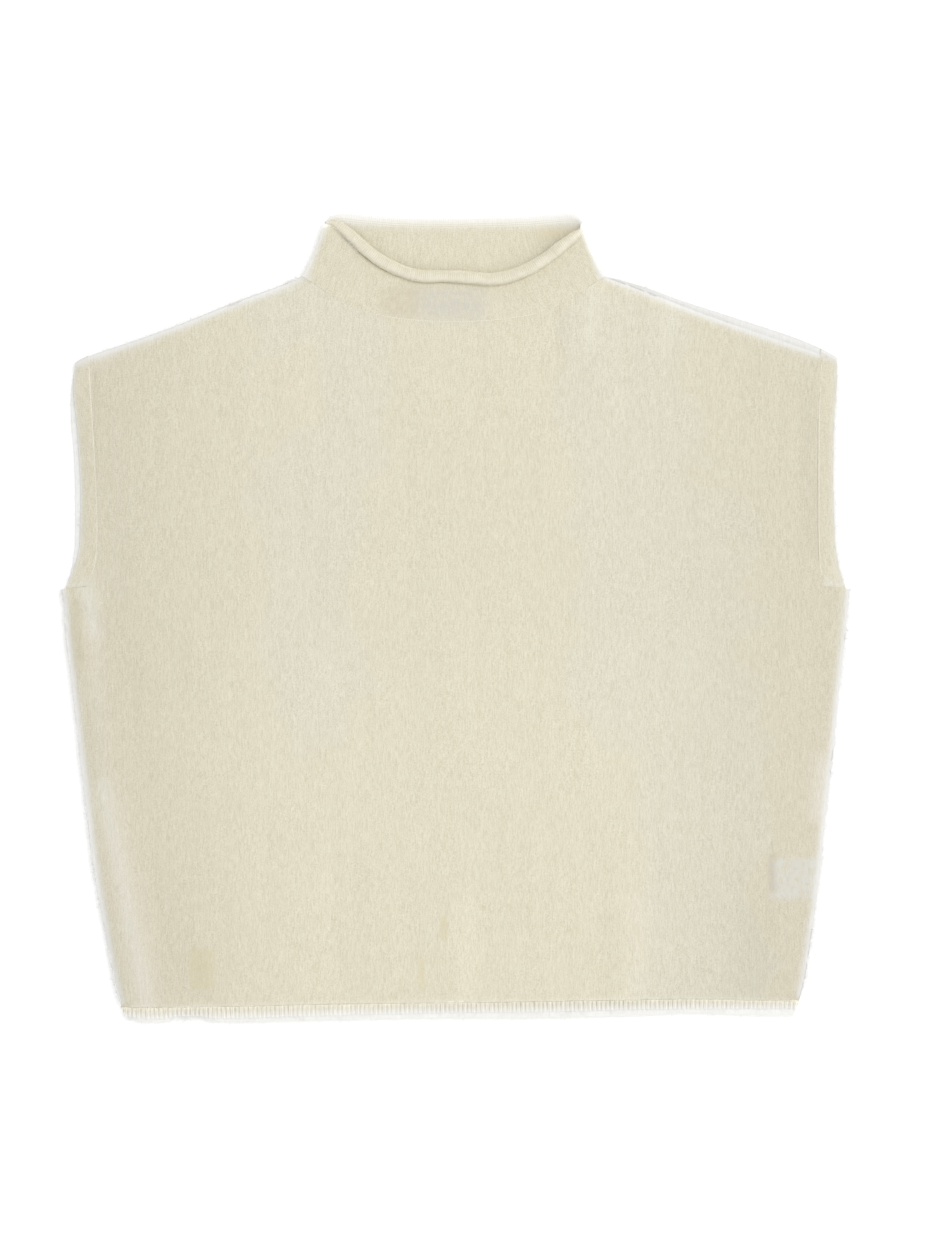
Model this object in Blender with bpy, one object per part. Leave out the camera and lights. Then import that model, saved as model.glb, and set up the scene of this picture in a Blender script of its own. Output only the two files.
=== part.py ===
"""Sleeveless funnel-neck sweater in fine stockinette knit, lying flat with its front panel up.

Every length in the constants and tables is in millimetres, and MM turns it into metres. Seen from above, +X
runs to the right, +Y from the hem to the neck and +Z up from the surface. The origin is on that surface,
under the middle of the sweater's outline.

The back panel lies flat. The front panel lies over it and comes down to it at the side and shoulder seams.
The collar and the two armhole bands are tubes pressed flat, each with a front half, a back half and a fold
at either end.
"""

import math
from collections import namedtuple

import bmesh
import bpy
import numpy as np
from mathutils import geometry

MM = 0.001

# Cloth
CLOTH = 1.8  # thickness of the knit
HALF_CLOTH = CLOTH / 2
SEAM_GAP = 0.3  # clearance between two pieces that are linked together
GARMENT_GAP = 1.2  # height of the air between the back and the front
PLATEAU_RISE = 1.2  # how much higher the middle of the front stands
FOLD_LIP = 0.5  # height of a panel's upright rim where it is folded over
FOLD_REACH = 2.6  # width of the rounding along a fold
FRONT_SLOPE = (1.4, 3.8)  # distances from a fold between which the front climbs off the back
SEAM_DIP = 0.3  # depth of the groove along a linked seam
SEAM_REACH = 1.2  # half that groove's width
SHARP_ANGLE = math.radians(50)  # edges sharper than this are shaded crisp

# Hem rib
RIBS = 151
RIB_RISE = 0.5  # height of a rib above the furrow next to it
RIB_PLACES = (0.0, 0.3, 0.7)  # in a rib's width: the furrow and the crest's two sides
RIB_HEIGHTS = (0.0, 1.0, 1.0)  # share of the rise at each of those places
HEM_ROUNDING = 0.85  # share of the rib's depth at which its free edge starts to round off
HEM_EDGE_DROP = 0.8  # how far that edge rounds down

# Collar
COLLAR_SHARES = (0.0, 0.3, 0.65, 1.0)  # levels of its wall, from the neckline to the rolled edge
COLLAR_WAIST = 2.0  # how far its sides curve in between the neckline and the rolled edge
WAIST_POWER = 5  # how soon that curve fades away from the sides
BACK_RISE_POWER = 1.6  # how late the back half leaves the surface
ROLL_POINTS = 13  # round the rolled edge
COLLAR_TURN_STEPS = 3  # round each of its side folds

# Armhole bands
BAND_FOLD = 2.4  # how far a band's fold stands past the ends of its seam
BAND_SHARES = (0.0, 0.5, 1.0)  # levels of its wall, from the seam to the free edge
BAND_SINK = 0.6  # share of the air under the front by which the free edge sinks
BAND_EDGE = (90, 40, -40, -90)  # degrees, of the points round the free edge
BAND_TURN_STEPS = 2

# Points along each line
HEM_POINTS = 34
SIDE_POINTS = 22
ARMHOLE_POINTS = 14
BAND_POINTS = 16
SHOULDER_POINTS = 12
FRONT_NECK_POINTS = 35
BACK_NECK_POINTS = 17
BACK_HEM_POINTS = 30
HEM_END_POINTS = 4

# Points inside an outline: rows at these distances from it, where the cloth rounds over, then an even spread,
# with further rows along the soft folds where the cloth has some
PanelPoints = namedtuple("PanelPoints", "insets spacing creased")
FRONT_POINTS = PanelPoints(insets=(0.5, 1.5, 3.8), spacing=24.0, creased=True)
BACK_POINTS = PanelPoints(insets=(0.5, 1.4, 2.8), spacing=60.0, creased=False)
HEM_BACK_POINTS = PanelPoints(insets=(0.5, 1.4, 2.8), spacing=30.0, creased=False)
EDGE_CLEARANCE = 0.45  # of the spacing, between the last inset row and the spread
ROW_CLEARANCE = 0.55  # of the spacing, between a soft fold's rows and the spread
CREASE_ROWS = (-1.5, -0.8, 0.0, 0.8, 1.5)  # places of a soft fold's rows, in half widths from its crest
CREASE_STEP = 30.0  # between the points of such a row
CREASE_POINTS = 5  # the fewest in such a row
CREASE_CLEARANCE = 3.0  # between the last inset row and a soft fold's rows

# Labels
LABEL_THICKNESS = 0.5
NECK_LABEL = {"centre": (-17.0, 234.0), "size": (70.0, 24.0)}
CARE_LABEL = {"centre": (250.0, -194.5), "size": (35.0, 31.0)}

# Side seams: height, left edge, right edge
SIDE_SEAMS = (
    (-303.0, -244.0, 250.0),
    (-297.0, -249.0, 254.5),
    (-285.0, -253.5, 259.5),
    (-255.0, -260.2, 265.5),
    (-225.0, -265.5, 269.5),
    (-195.0, -270.7, 273.0),
    (-150.0, -276.7, 277.6),
    (-105.0, -282.0, 283.0),
    (-60.0, -287.3, 287.3),
    (-15.0, -292.8, 292.5),
    (22.0, -296.0, 296.0),
)

# Hem: place across, rib's upper edge, front's lower edge, back's lower edge
HEM_LINES = (
    (-256.0, -290.8, -299.4, -301.6),
    (-233.0, -290.6, -300.0, -302.4),
    (-180.0, -289.9, -299.7, -302.4),
    (-101.0, -288.2, -297.6, -301.0),
    (-20.0, -287.0, -295.7, -299.6),
    (64.0, -285.9, -294.6, -299.4),
    (139.0, -284.6, -293.0, -297.4),
    (184.0, -284.3, -292.4, -295.5),
    (220.0, -285.0, -292.2, -297.4),
    (261.0, -285.9, -292.2, -297.4),
)

# Armholes from the underarm to the shoulder: seam x, seam y, front edge x, back edge x, edge y
LEFT_ARMHOLE = (
    (-276.5, 27.0, -293.0, -293.0, 25.0),
    (-271.0, 38.0, -287.0, -289.5, 36.0),
    (-269.0, 52.0, -282.6, -286.6, 51.0),
    (-268.6, 75.0, -281.0, -285.8, 75.0),
    (-269.3, 100.0, -280.8, -285.8, 100.0),
    (-270.6, 125.0, -282.0, -286.8, 125.0),
    (-272.2, 150.0, -284.2, -288.6, 150.0),
    (-273.6, 173.0, -286.6, -289.0, 171.0),
    (-274.9, 195.0, -287.2, -287.2, 190.3),
)
RIGHT_ARMHOLE = (
    (277.0, 27.0, 293.0, 293.0, 25.0),
    (274.2, 38.0, 289.6, 291.0, 36.0),
    (273.4, 52.0, 287.0, 289.3, 51.0),
    (273.0, 75.0, 285.6, 287.8, 75.0),
    (273.0, 100.0, 285.0, 287.2, 100.0),
    (273.0, 125.0, 285.0, 287.2, 125.0),
    (273.2, 150.0, 285.6, 287.6, 150.0),
    (274.0, 173.0, 286.4, 288.2, 171.0),
    (275.0, 196.5, 286.8, 286.8, 190.8),
)

# Shoulder seams from the band to the neck: place across, front's edge, back's edge
LEFT_SHOULDER = (
    (-275.2, 197.4, 197.6),
    (-260.3, 202.0, 202.6),
    (-216.8, 216.8, 217.6),
    (-161.3, 238.6, 239.6),
    (-128.3, 251.0, 251.6),
    (-116.5, 256.4, 256.6),
)
RIGHT_SHOULDER = (
    (275.3, 198.8, 203.4),
    (260.3, 203.6, 209.6),
    (216.0, 218.6, 224.6),
    (168.8, 235.6, 239.8),
    (134.3, 249.6, 251.8),
    (114.0, 256.4, 256.6),
)

# Necklines, from left to right: place across, height
FRONT_NECKLINE = (
    (-112.6, 257.0),
    (-103.0, 250.6),
    (-92.0, 242.6),
    (-72.0, 232.6),
    (-40.0, 225.6),
    (-2.0, 223.4),
    (36.0, 225.4),
    (70.0, 232.4),
    (91.0, 243.6),
    (101.0, 251.0),
    (110.2, 257.0),
)
BACK_NECKLINE = (
    (-112.6, 257.0),
    (-80.0, 253.6),
    (-40.0, 251.4),
    (0.0, 250.8),
    (40.0, 251.4),
    (80.0, 253.6),
    (110.2, 257.0),
)

# The collar's rolled edge, from left to right: place across, height, cloth's height above the surface, radius
FRONT_ROLL = (
    (-97.2, 295.6, 8.4, 1.6),
    (-92.6, 296.8, 8.5, 2.4),
    (-87.6, 295.2, 8.4, 3.2),
    (-83.0, 291.8, 8.1, 3.8),
    (-77.4, 287.0, 7.6, 4.2),
    (-68.2, 278.4, 6.6, 4.5),
    (-56.2, 269.2, 5.6, 4.6),
    (-41.2, 261.6, 4.9, 4.7),
    (-26.2, 257.4, 4.7, 4.7),
    (-8.2, 257.2, 4.8, 4.6),
    (11.2, 256.2, 4.7, 4.7),
    (26.2, 254.8, 4.7, 4.8),
    (41.2, 257.2, 4.9, 4.8),
    (56.2, 263.2, 5.6, 4.8),
    (70.6, 272.0, 6.8, 4.7),
    (81.2, 281.6, 8.2, 4.4),
    (87.6, 289.6, 9.3, 3.7),
    (90.2, 296.2, 9.6, 2.1),
)
BACK_ROLL = (
    (-97.2, 295.6, 5.4, 1.6),
    (-86.0, 299.6, 5.4, 2.9),
    (-68.0, 298.9, 5.4, 3.2),
    (-41.0, 296.6, 5.4, 3.2),
    (0.0, 296.3, 5.4, 3.2),
    (30.0, 296.7, 5.4, 3.2),
    (58.0, 298.0, 5.4, 3.2),
    (77.0, 299.0, 5.5, 3.2),
    (90.2, 296.2, 5.6, 2.1),
)

# Soft folds of the front: start x, start y, end x, end y, half width, rise
FRONT_FOLDS = (
    (0.0, -205.0, 0.0, -285.0, 13.0, 0.9),
    (127.0, -205.0, 128.0, -285.0, 12.0, 1.1),
    (-116.0, -225.0, -116.0, -288.0, 14.0, 0.5),
    (-84.0, -200.0, -60.0, -280.0, 11.0, 0.5),
    (-278.0, 0.0, -237.0, -282.0, 11.0, 1.5),
    (278.0, 165.0, 280.0, 50.0, 12.0, 0.9),
    (284.0, -20.0, 266.0, -220.0, 10.0, 0.6),
    (105.0, 246.0, 105.0, 196.0, 8.0, 0.7),
    (166.0, 226.0, 157.0, 165.0, 10.0, 0.6),
    (-124.0, 214.0, -124.0, 140.0, 13.0, 0.5),
    (-13.0, 205.0, -13.0, -10.0, 8.0, 0.3),
)

# Where the front rises to its middle: place across at which the slope starts, and its width
LEFT_SLOPE = (-255.0, 110.0)
RIGHT_SLOPE = (280.0, 70.0)

CREAM = (0.768, 0.723, 0.571)
PALE_CREAM = (0.830, 0.790, 0.660)
LABEL_WHITE = (0.800, 0.790, 0.740)


# ---------------------------------------------------------------- curves


def smooth_lookup(rows, where):
    """A table's later columns, read smoothly at values of its first column."""
    table = np.array(rows, float)
    knots, values = table[:, 0], table[:, 1:]
    slopes = np.gradient(values, knots, axis=0)
    where = np.clip(where, knots[0], knots[-1])
    k = np.clip(np.searchsorted(knots, where, side="right") - 1, 0, len(knots) - 2)
    width = knots[k + 1] - knots[k]
    t = ((where - knots[k]) / width)[:, None]
    width = width[:, None]
    before = (1 + 2 * t) * (1 - t) ** 2 * values[k] + t * (1 - t) ** 2 * width * slopes[k]
    after = t**2 * (3 - 2 * t) * values[k + 1] + t**2 * (t - 1) * width * slopes[k + 1]
    return before + after


def resample(rows, count):
    """count rows, evenly spaced by their first two columns, on a smooth curve through a table's rows."""
    table = np.array(rows, float)
    steps = np.hypot(*np.diff(table[:, :2], axis=0).T)
    travelled = np.concatenate(([0.0], np.cumsum(steps)))
    return smooth_lookup(np.column_stack((travelled, table)), np.linspace(0, travelled[-1], count))


def ease(t):
    """0 to 1 with a level start and end."""
    t = np.clip(t, 0.0, 1.0)
    return t * t * (3 - 2 * t)


def quarter_round(distance, reach):
    """0 at an edge, rising along a quarter circle to 1 at reach from it."""
    inside = 1 - np.clip(distance / reach, 0.0, 1.0)
    return np.sqrt(1 - inside**2)


def distance_to_path(points, path):
    """The distance of each point from a run of straight segments."""
    start, step = path[:-1], np.diff(path, axis=0)
    from_start = points[:, None, :] - start[None]
    share = (from_start * step).sum(2) / (step**2).sum(1)
    nearest = start + np.clip(share, 0, 1)[..., None] * step
    return np.linalg.norm(points[:, None, :] - nearest, axis=2).min(1)


# ---------------------------------------------------------------- heights of the two layers


def front_lift(points):
    """How far the front stands above its lowest level: a broad plateau and the soft folds."""
    from_left = ease((points[:, 0] - LEFT_SLOPE[0]) / LEFT_SLOPE[1])
    from_right = ease((RIGHT_SLOPE[0] - points[:, 0]) / RIGHT_SLOPE[1])
    lift = PLATEAU_RISE * from_left * from_right
    for x1, y1, x2, y2, half_width, rise in FRONT_FOLDS:
        away = distance_to_path(points, np.array([[x1, y1], [x2, y2]]))
        lift += rise * np.exp(-((away / half_width) ** 2))
    return lift


def front_inside(points, to_fold):
    """Height of the front's inner face, which comes down to the back along its folds."""
    start, end = FRONT_SLOPE
    free = ease((to_fold - start) / (end - start))
    return CLOTH + SEAM_GAP + free * (GARMENT_GAP - SEAM_GAP + front_lift(points))


def front_outside(points, to_fold, to_seam):
    """Height of the front's outer face, rounded along the folds and dipped along the linked seams."""
    full = front_inside(points, to_fold) + CLOTH
    rim = CLOTH + SEAM_GAP + FOLD_LIP
    rounded = rim + (full - rim) * quarter_round(to_fold, FOLD_REACH)
    return rounded - SEAM_DIP * (1 - quarter_round(to_seam, SEAM_REACH))


def back_upside(points, to_fold, to_seam):
    """Height of the back's upper face, which is level."""
    return np.full(len(points), CLOTH)


def back_underside(points, to_fold):
    """Height of the back's lower face: flat, and rounded up along its outer edges."""
    return (CLOTH - FOLD_LIP) * (1 - quarter_round(to_fold, FOLD_REACH))


# ---------------------------------------------------------------- making solids


def knit_material(name, colour):
    material = bpy.data.materials.new(name)
    material.use_nodes = True
    shader = material.node_tree.nodes["Principled BSDF"]
    shader.inputs["Base Color"].default_value = (*colour, 1.0)
    shader.inputs["Roughness"].default_value = 0.9
    shader.inputs["Metallic"].default_value = 0.0
    return material


def make_solid(collection, name, points, faces, colour):
    """A named object from points in millimetres, with its faces pointing out."""
    mesh = bpy.data.meshes.new(name)
    mesh.from_pydata((np.array(points) * MM).tolist(), [], faces)
    shape = bmesh.new()
    shape.from_mesh(mesh)
    bmesh.ops.recalc_face_normals(shape, faces=shape.faces)
    shape.to_mesh(mesh)
    shape.free()
    mesh.shade_smooth()
    mesh.set_sharp_from_angle(angle=SHARP_ANGLE)
    mesh.materials.append(knit_material(name, colour))
    solid = bpy.data.objects.new(name, mesh)
    collection.objects.link(solid)
    return solid


def inset(loop, distance):
    """A closed outline, counterclockwise, moved inwards by a distance."""
    before, after = np.roll(loop, 1, axis=0), np.roll(loop, -1, axis=0)
    inward = []
    for a, b in ((before, loop), (loop, after)):
        along = (b - a) / np.linalg.norm(b - a, axis=1)[:, None]
        inward.append(np.column_stack((-along[:, 1], along[:, 0])))
    middle = inward[0] + inward[1]
    reach = 2 * distance / (middle**2).sum(1)
    return loop + middle * reach[:, None]


def inside(points, loop):
    """Which points lie inside a closed outline."""
    found = np.zeros(len(points), bool)
    for (x1, y1), (x2, y2) in zip(loop, np.roll(loop, -1, axis=0)):
        if y1 == y2:
            continue
        crosses = (points[:, 1] > y1) != (points[:, 1] > y2)
        found ^= crosses & (points[:, 0] < x1 + (x2 - x1) * (points[:, 1] - y1) / (y2 - y1))
    return found


def well_inside(points, loop, clearance):
    """The points that lie inside a closed outline, further than a clearance from it."""
    points = points[inside(points, loop)]
    return points[distance_to_path(points, np.vstack((loop, loop[:1]))) > clearance]


def along_folds(loop):
    """Rows of points along each soft fold, on its crest and down both its sides, inside an outline."""
    rows = []
    for x1, y1, x2, y2, half_width, _ in FRONT_FOLDS:
        start, end = np.array([x1, y1]), np.array([x2, y2])
        length = np.linalg.norm(end - start)
        onward = (end - start) / length
        square = np.array([-onward[1], onward[0]])
        count = max(CREASE_POINTS, round(length / CREASE_STEP))
        stops = np.linspace(-half_width, length + half_width, count)
        for side in CREASE_ROWS:
            rows.append(start + stops[:, None] * onward + side * half_width * square)
    return well_inside(np.vstack(rows), loop, CREASE_CLEARANCE)


def thinned(points, kept, clearance):
    """The points that lie at least a clearance from every kept one."""
    away = np.linalg.norm(points[:, None] - kept[None], axis=2).min(1)
    return points[away > clearance]


def staggered_grid(loop, spacing):
    """Points in offset rows that fill an outline, none close to its edge."""
    low, high = loop.min(0), loop.max(0)
    rows = [np.empty((0, 2))]
    for number, y in enumerate(np.arange(low[1] + spacing / 2, high[1], spacing * math.sqrt(0.75))):
        across = np.arange(low[0] + spacing * (0.5 if number % 2 else 1.0), high[0], spacing)
        rows.append(np.column_stack((across, np.full(len(across), y))))
    return well_inside(np.vstack(rows), loop, EDGE_CLEARANCE * spacing)


def make_panel(collection, name, stretches, panel_points, top, bottom, colour):
    """A wall of cloth inside a closed outline.

    The outline runs counterclockwise through stretches, each a pair of "fold" or "seam" and its points.
    top and bottom give the two faces' heights at points, from the distances to the nearest fold and, for
    the top, to the nearest seam.
    """
    outline = np.vstack([points[:-1] for _, points in stretches])
    loops = [outline] + [inset(outline, distance) for distance in panel_points.insets]
    fill = staggered_grid(loops[-1], panel_points.spacing)
    if panel_points.creased:
        rows = along_folds(loops[-1])
        fill = np.vstack((rows, thinned(fill, rows, ROW_CLEARANCE * panel_points.spacing)))
    plan = np.vstack(loops + [fill])
    count = len(outline)
    edges = []
    for number in range(len(loops)):
        edges += [(number * count + k, number * count + (k + 1) % count) for k in range(count)]
    filled = geometry.delaunay_2d_cdt([tuple(point) for point in plan], edges, [], 1, 1e-5)
    plan, triangles = np.array([tuple(point) for point in filled[0]]), filled[2]
    to_fold, to_seam = (
        np.min([distance_to_path(plan, points) for kind, points in stretches if kind == wanted], axis=0)
        for wanted in ("fold", "seam")
    )
    upper = np.column_stack((plan, top(plan, to_fold, to_seam)))
    lower = np.column_stack((plan, bottom(plan, to_fold)))
    below = len(plan)
    edges = {edge for a, b, c in triangles for edge in ((a, b), (b, c), (c, a))}
    rim = sorted((a, b) for a, b in edges if (b, a) not in edges)
    faces = [(a, b, c) for a, b, c in triangles]
    faces += [(c + below, b + below, a + below) for a, b, c in triangles]
    faces += [(b, a, a + below, b + below) for a, b in rim]
    return make_solid(collection, name, np.vstack((upper, lower)), faces, colour)


def make_loft(collection, name, sections, closed, colour):
    """A solid through cross-sections with equal numbers of points, closed into a ring or capped."""
    count, size = sections.shape[:2]
    faces = []
    for k in range(count if closed else count - 1):
        here, ahead = k * size, (k + 1) % count * size
        for j in range(size):
            after = (j + 1) % size
            faces.append((here + j, ahead + j, ahead + after, here + after))
    if not closed:
        last = (count - 1) * size
        faces.append(range(size))
        faces.append(range(last + size - 1, last - 1, -1))
    return make_solid(collection, name, sections.reshape(-1, 3), faces, colour)


# ---------------------------------------------------------------- tubes pressed flat


def flat_tube(front, back, turn_steps):
    """The middle surface of a tube pressed flat, and the way each of its stations faces.

    front and back give, for each station from left to right and each level, a point (x, y, z). Their end
    stations lie over each other, and a half circle of turn_steps stations joins them.
    """
    middle, facing = [], []
    up = np.array([0.0, 0.0, 1.0])

    def add_fold(upper, lower, outward, angles):
        for angle in angles:
            centre, radius = (upper + lower) / 2, (upper[:, 2] - lower[:, 2])[:, None] / 2
            way = math.cos(angle) * outward + math.sin(angle) * up
            middle.append(centre + radius * way)
            facing.append(way)

    angles = np.linspace(math.pi / 2, -math.pi / 2, turn_steps + 2)[1:-1]
    for station in front:
        middle.append(station)
        facing.append(up)
    add_fold(front[-1], back[-1], fold_direction(front, -1), angles)
    for station in back[::-1]:
        middle.append(station)
        facing.append(-up)
    add_fold(front[0], back[0], fold_direction(front, 0), angles[::-1])
    return np.array(middle), np.array(facing)


def fold_direction(front, end):
    """The level direction that leaves a flat tube squarely across the fold at one of its ends."""
    fold = front[end][-1] - front[end][0]
    square = np.array([fold[1], -fold[0], 0.0])
    inner = front[len(front) // 2].mean(0) - front[end].mean(0)
    if square @ inner > 0:
        square = -square
    return square / np.linalg.norm(square)


def edge_directions(middle, facing):
    """For each station, the way across the free edge, square to the edge and to the facing."""
    edge = middle[:, -1]
    along = np.roll(edge, -1, axis=0) - np.roll(edge, 1, axis=0)
    across = np.cross(along, facing)
    across /= np.linalg.norm(across, axis=1)[:, None]
    outwards = np.sign((across * (middle[:, -1] - middle[:, 0])).sum(1))
    return across * outwards[:, None]


def wall_sections(middle, facing, cap):
    """Cross-sections round a wall: up its outer face, round the free edge's cap, and down inside."""
    sections = []
    for station, way, end in zip(middle, facing, cap):
        outer = station[:-1] + HALF_CLOTH * way
        inner = (station[:-1] - HALF_CLOTH * way)[::-1]
        sections.append(np.vstack((outer, end, inner)))
    sections = np.array(sections)
    sections[..., 2] = np.maximum(sections[..., 2], 0.0)
    return sections


# ---------------------------------------------------------------- outlines


def side_seam(low, high, side, count):
    """Points up one side seam between two heights. side is 0 at the left and 1 at the right."""
    heights = np.linspace(low, high, count)
    return np.column_stack((smooth_lookup(SIDE_SEAMS, heights)[:, side], heights))


def hem_line(column, start, end, count):
    """Points along one of the hem's lines: column 0 is the rib's upper edge, 1 the front's, 2 the back's."""
    across = np.linspace(start, end, count)
    return np.column_stack((across, smooth_lookup(HEM_LINES, across)[:, column]))


def moved(path, distance):
    """A path moved to its left by a distance."""
    along = np.gradient(path, axis=0)
    along /= np.linalg.norm(along, axis=1)[:, None]
    return path + distance * np.column_stack((-along[:, 1], along[:, 0]))


def hem_ends(column):
    """Where one of the hem's lines meets the side seams: its place across at the left and at the right."""
    left_height, right_height = HEM_LINES[0][column + 1], HEM_LINES[-1][column + 1]
    left = smooth_lookup(SIDE_SEAMS, np.array([left_height]))[0, 0]
    right = smooth_lookup(SIDE_SEAMS, np.array([right_height]))[0, 1]
    return left, right


def armhole_seam(rows, gap):
    """A panel's edge along one armhole band, upwards, a gap inside the band's own seam."""
    seam = resample([row[:2] for row in rows], ARMHOLE_POINTS) + [gap, 0]
    underarm = [seam[0][0], rows[0][1] - BAND_FOLD - SEAM_GAP]
    return np.vstack((underarm, seam))


def body_outline(neckline, shoulder_column):
    """The front's or the back's outline above the hem, counterclockwise from the hem's left end."""
    hem = hem_line(0, *hem_ends(0), HEM_POINTS) + [0, SEAM_GAP / 2]
    underarm = LEFT_ARMHOLE[0][4] - BAND_FOLD + SEAM_GAP
    right_side = side_seam(hem[-1][1], underarm, 1, SIDE_POINTS)
    left_side = side_seam(hem[0][1], underarm, 0, SIDE_POINTS)[::-1]
    right_band = armhole_seam(RIGHT_ARMHOLE, -SEAM_GAP)
    left_band = armhole_seam(LEFT_ARMHOLE, SEAM_GAP)[::-1]
    right_shoulder, left_shoulder = (
        resample([(row[0], row[shoulder_column]) for row in rows], SHOULDER_POINTS)
        for rows in (RIGHT_SHOULDER, LEFT_SHOULDER)
    )
    right_shoulder[0][0] = right_band[-1][0]
    left_shoulder[0][0] = left_band[0][0]
    left_shoulder = left_shoulder[::-1]
    neck = moved(neckline, -SEAM_GAP)[::-1]
    return (
        ("seam", hem),
        ("fold", right_side),
        ("seam", np.vstack((right_side[-1], right_band[:-1], right_shoulder[0]))),
        ("fold", right_shoulder),
        ("seam", np.vstack((right_shoulder[-1], neck, left_shoulder[0]))),
        ("fold", left_shoulder),
        ("seam", np.vstack((left_shoulder[-1], left_band[1:], left_side[0]))),
        ("fold", left_side),
    )


# ---------------------------------------------------------------- the pieces


def make_front(collection):
    outline = body_outline(resample(FRONT_NECKLINE, FRONT_NECK_POINTS), 1)
    return make_panel(collection, "front", outline, FRONT_POINTS, front_outside, front_inside, CREAM)


def make_back(collection):
    outline = body_outline(resample(BACK_NECKLINE, BACK_NECK_POINTS), 2)
    return make_panel(collection, "back", outline, BACK_POINTS, back_upside, back_underside, CREAM)


def make_hem_front(collection):
    """The rib under the front: its outer points rise and fall once a rib, over a plain inside."""
    left, right = hem_ends(0)
    shares = np.array([(rib + place) / RIBS for rib in range(RIBS) for place in RIB_PLACES] + [1.0])
    rises = RIB_RISE * np.array(RIB_HEIGHTS * RIBS + (0.0,))
    levels = np.array([0.0, HEM_ROUNDING, 1.0])
    drops = np.array([SEAM_DIP, 0.0, HEM_EDGE_DROP])
    across = left + (right - left) * shares
    hem = smooth_lookup(HEM_LINES, across)
    sections = []
    for share, rise, (high, low, _) in zip(shares, rises, hem):
        high -= SEAM_GAP / 2
        heights = high + (low - high) * levels
        edges = smooth_lookup(SIDE_SEAMS, heights)
        places = np.column_stack((edges[:, 0] + share * (edges[:, 1] - edges[:, 0]), heights))
        to_fold = np.full(len(levels), min(share, 1 - share) * (right - left))
        outer = front_outside(places, to_fold, np.full(len(levels), SEAM_REACH)) - drops + rise
        upper = np.column_stack((places, outer))
        under = np.column_stack((places, front_inside(places, to_fold)))[[-1, 0]]
        sections.append(np.vstack((upper, under)))
    return make_loft(collection, "hem_front", np.array(sections), False, PALE_CREAM)


def make_hem_back(collection):
    """The rib under the back, with its flat side on the surface."""
    low = hem_line(2, *hem_ends(2), BACK_HEM_POINTS)
    high = (hem_line(0, *hem_ends(0), BACK_HEM_POINTS) - [0, SEAM_GAP / 2])[::-1]
    outline = (
        ("fold", low),
        ("fold", side_seam(low[-1][1], high[0][1], 1, HEM_END_POINTS)),
        ("seam", high),
        ("fold", side_seam(low[0][1], high[-1][1], 0, HEM_END_POINTS)[::-1]),
    )
    return make_panel(
        collection, "hem_back", outline, HEM_BACK_POINTS, back_upside, back_underside, PALE_CREAM
    )


def collar_half(neckline, roll, count, seam_height, rise_power):
    """One half of the collar's wall, as its stations' points and the roll's radius at each station.

    seam_height gives the wall's middle at points of the neckline. It rises from there to the roll as the
    rise_power of the share of the way.
    """
    seam, edge = resample(neckline, count), resample(roll, count)
    shares = np.array(COLLAR_SHARES)
    bottom = seam_height(seam)
    plan = seam[:, None] + shares[:, None] * (edge[:, :2] - seam)[:, None]
    sideways = np.linspace(-1, 1, count) ** WAIST_POWER
    plan[..., 0] -= COLLAR_WAIST * sideways[:, None] * 4 * shares * (1 - shares)
    height = bottom[:, None] + shares**rise_power * (edge[:, 2] - bottom)[:, None]
    return np.concatenate((plan, height[..., None]), axis=2), edge[:, 3]


def over_the_back(points):
    """Height of the middle of the front layer's cloth, away from its folds."""
    return front_inside(points, np.full(len(points), FRONT_SLOPE[1])) + HALF_CLOTH


def on_the_surface(points):
    """Height of the middle of the back layer's cloth."""
    return np.full(len(points), HALF_CLOTH)


def make_collar(collection):
    """The funnel neck: a tube linked to the necklines, with its free edge rolled outward into a bead."""
    front, front_radii = collar_half(FRONT_NECKLINE, FRONT_ROLL, FRONT_NECK_POINTS, over_the_back, 1.0)
    back, back_radii = collar_half(
        BACK_NECKLINE, BACK_ROLL, BACK_NECK_POINTS, on_the_surface, BACK_RISE_POWER
    )
    middle, facing = flat_tube(front, back, COLLAR_TURN_STEPS)
    turns = np.linspace(0, 1, COLLAR_TURN_STEPS + 2)[1:-1]
    right_turn = front_radii[-1] + turns * (back_radii[-1] - front_radii[-1])
    left_turn = back_radii[0] + turns * (front_radii[0] - back_radii[0])
    radii = np.concatenate((front_radii, right_turn, back_radii[::-1], left_turn))
    across = edge_directions(middle, facing)
    cap = []
    for station, way, out, radius in zip(middle, facing, across, radii):
        centre = station[-1] + (radius - HALF_CLOTH) * way
        crease = math.asin((CLOTH - radius) / radius)
        angles = np.linspace(math.pi - crease, -math.pi / 2, ROLL_POINTS)
        cap.append([centre + radius * (math.cos(a) * out + math.sin(a) * way) for a in angles])
    sections = wall_sections(middle, facing, np.array(cap))
    return make_loft(collection, "collar", sections, True, PALE_CREAM)


def make_armhole_band(collection, name, rows):
    """A band round one armhole: a low flat tube, linked to both panels and rounded at its free edge."""
    stations = resample(rows, BAND_POINTS)
    seam = stations[:, :2]
    shares = np.array(BAND_SHARES)
    halves = []
    for edge_column, layer, sink in ((2, over_the_back, BAND_SINK), (3, on_the_surface, 0.0)):
        edge = stations[:, [edge_column, 4]]
        plan = seam[:, None] + shares[:, None] * (edge - seam)[:, None]
        height = layer(plan.reshape(-1, 2)).reshape(plan.shape[:2])
        height -= shares * sink * (GARMENT_GAP - SEAM_GAP)
        halves.append(np.concatenate((plan, height[..., None]), axis=2))
    middle, facing = flat_tube(*halves, BAND_TURN_STEPS)
    across = edge_directions(middle, facing)
    angles = np.radians(BAND_EDGE)
    cap = [
        [station[-1] + HALF_CLOTH * (math.cos(a) * out + math.sin(a) * way) for a in angles]
        for station, way, out in zip(middle, facing, across)
    ]
    sections = wall_sections(middle, facing, np.array(cap))
    return make_loft(collection, name, sections, True, CREAM)


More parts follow.
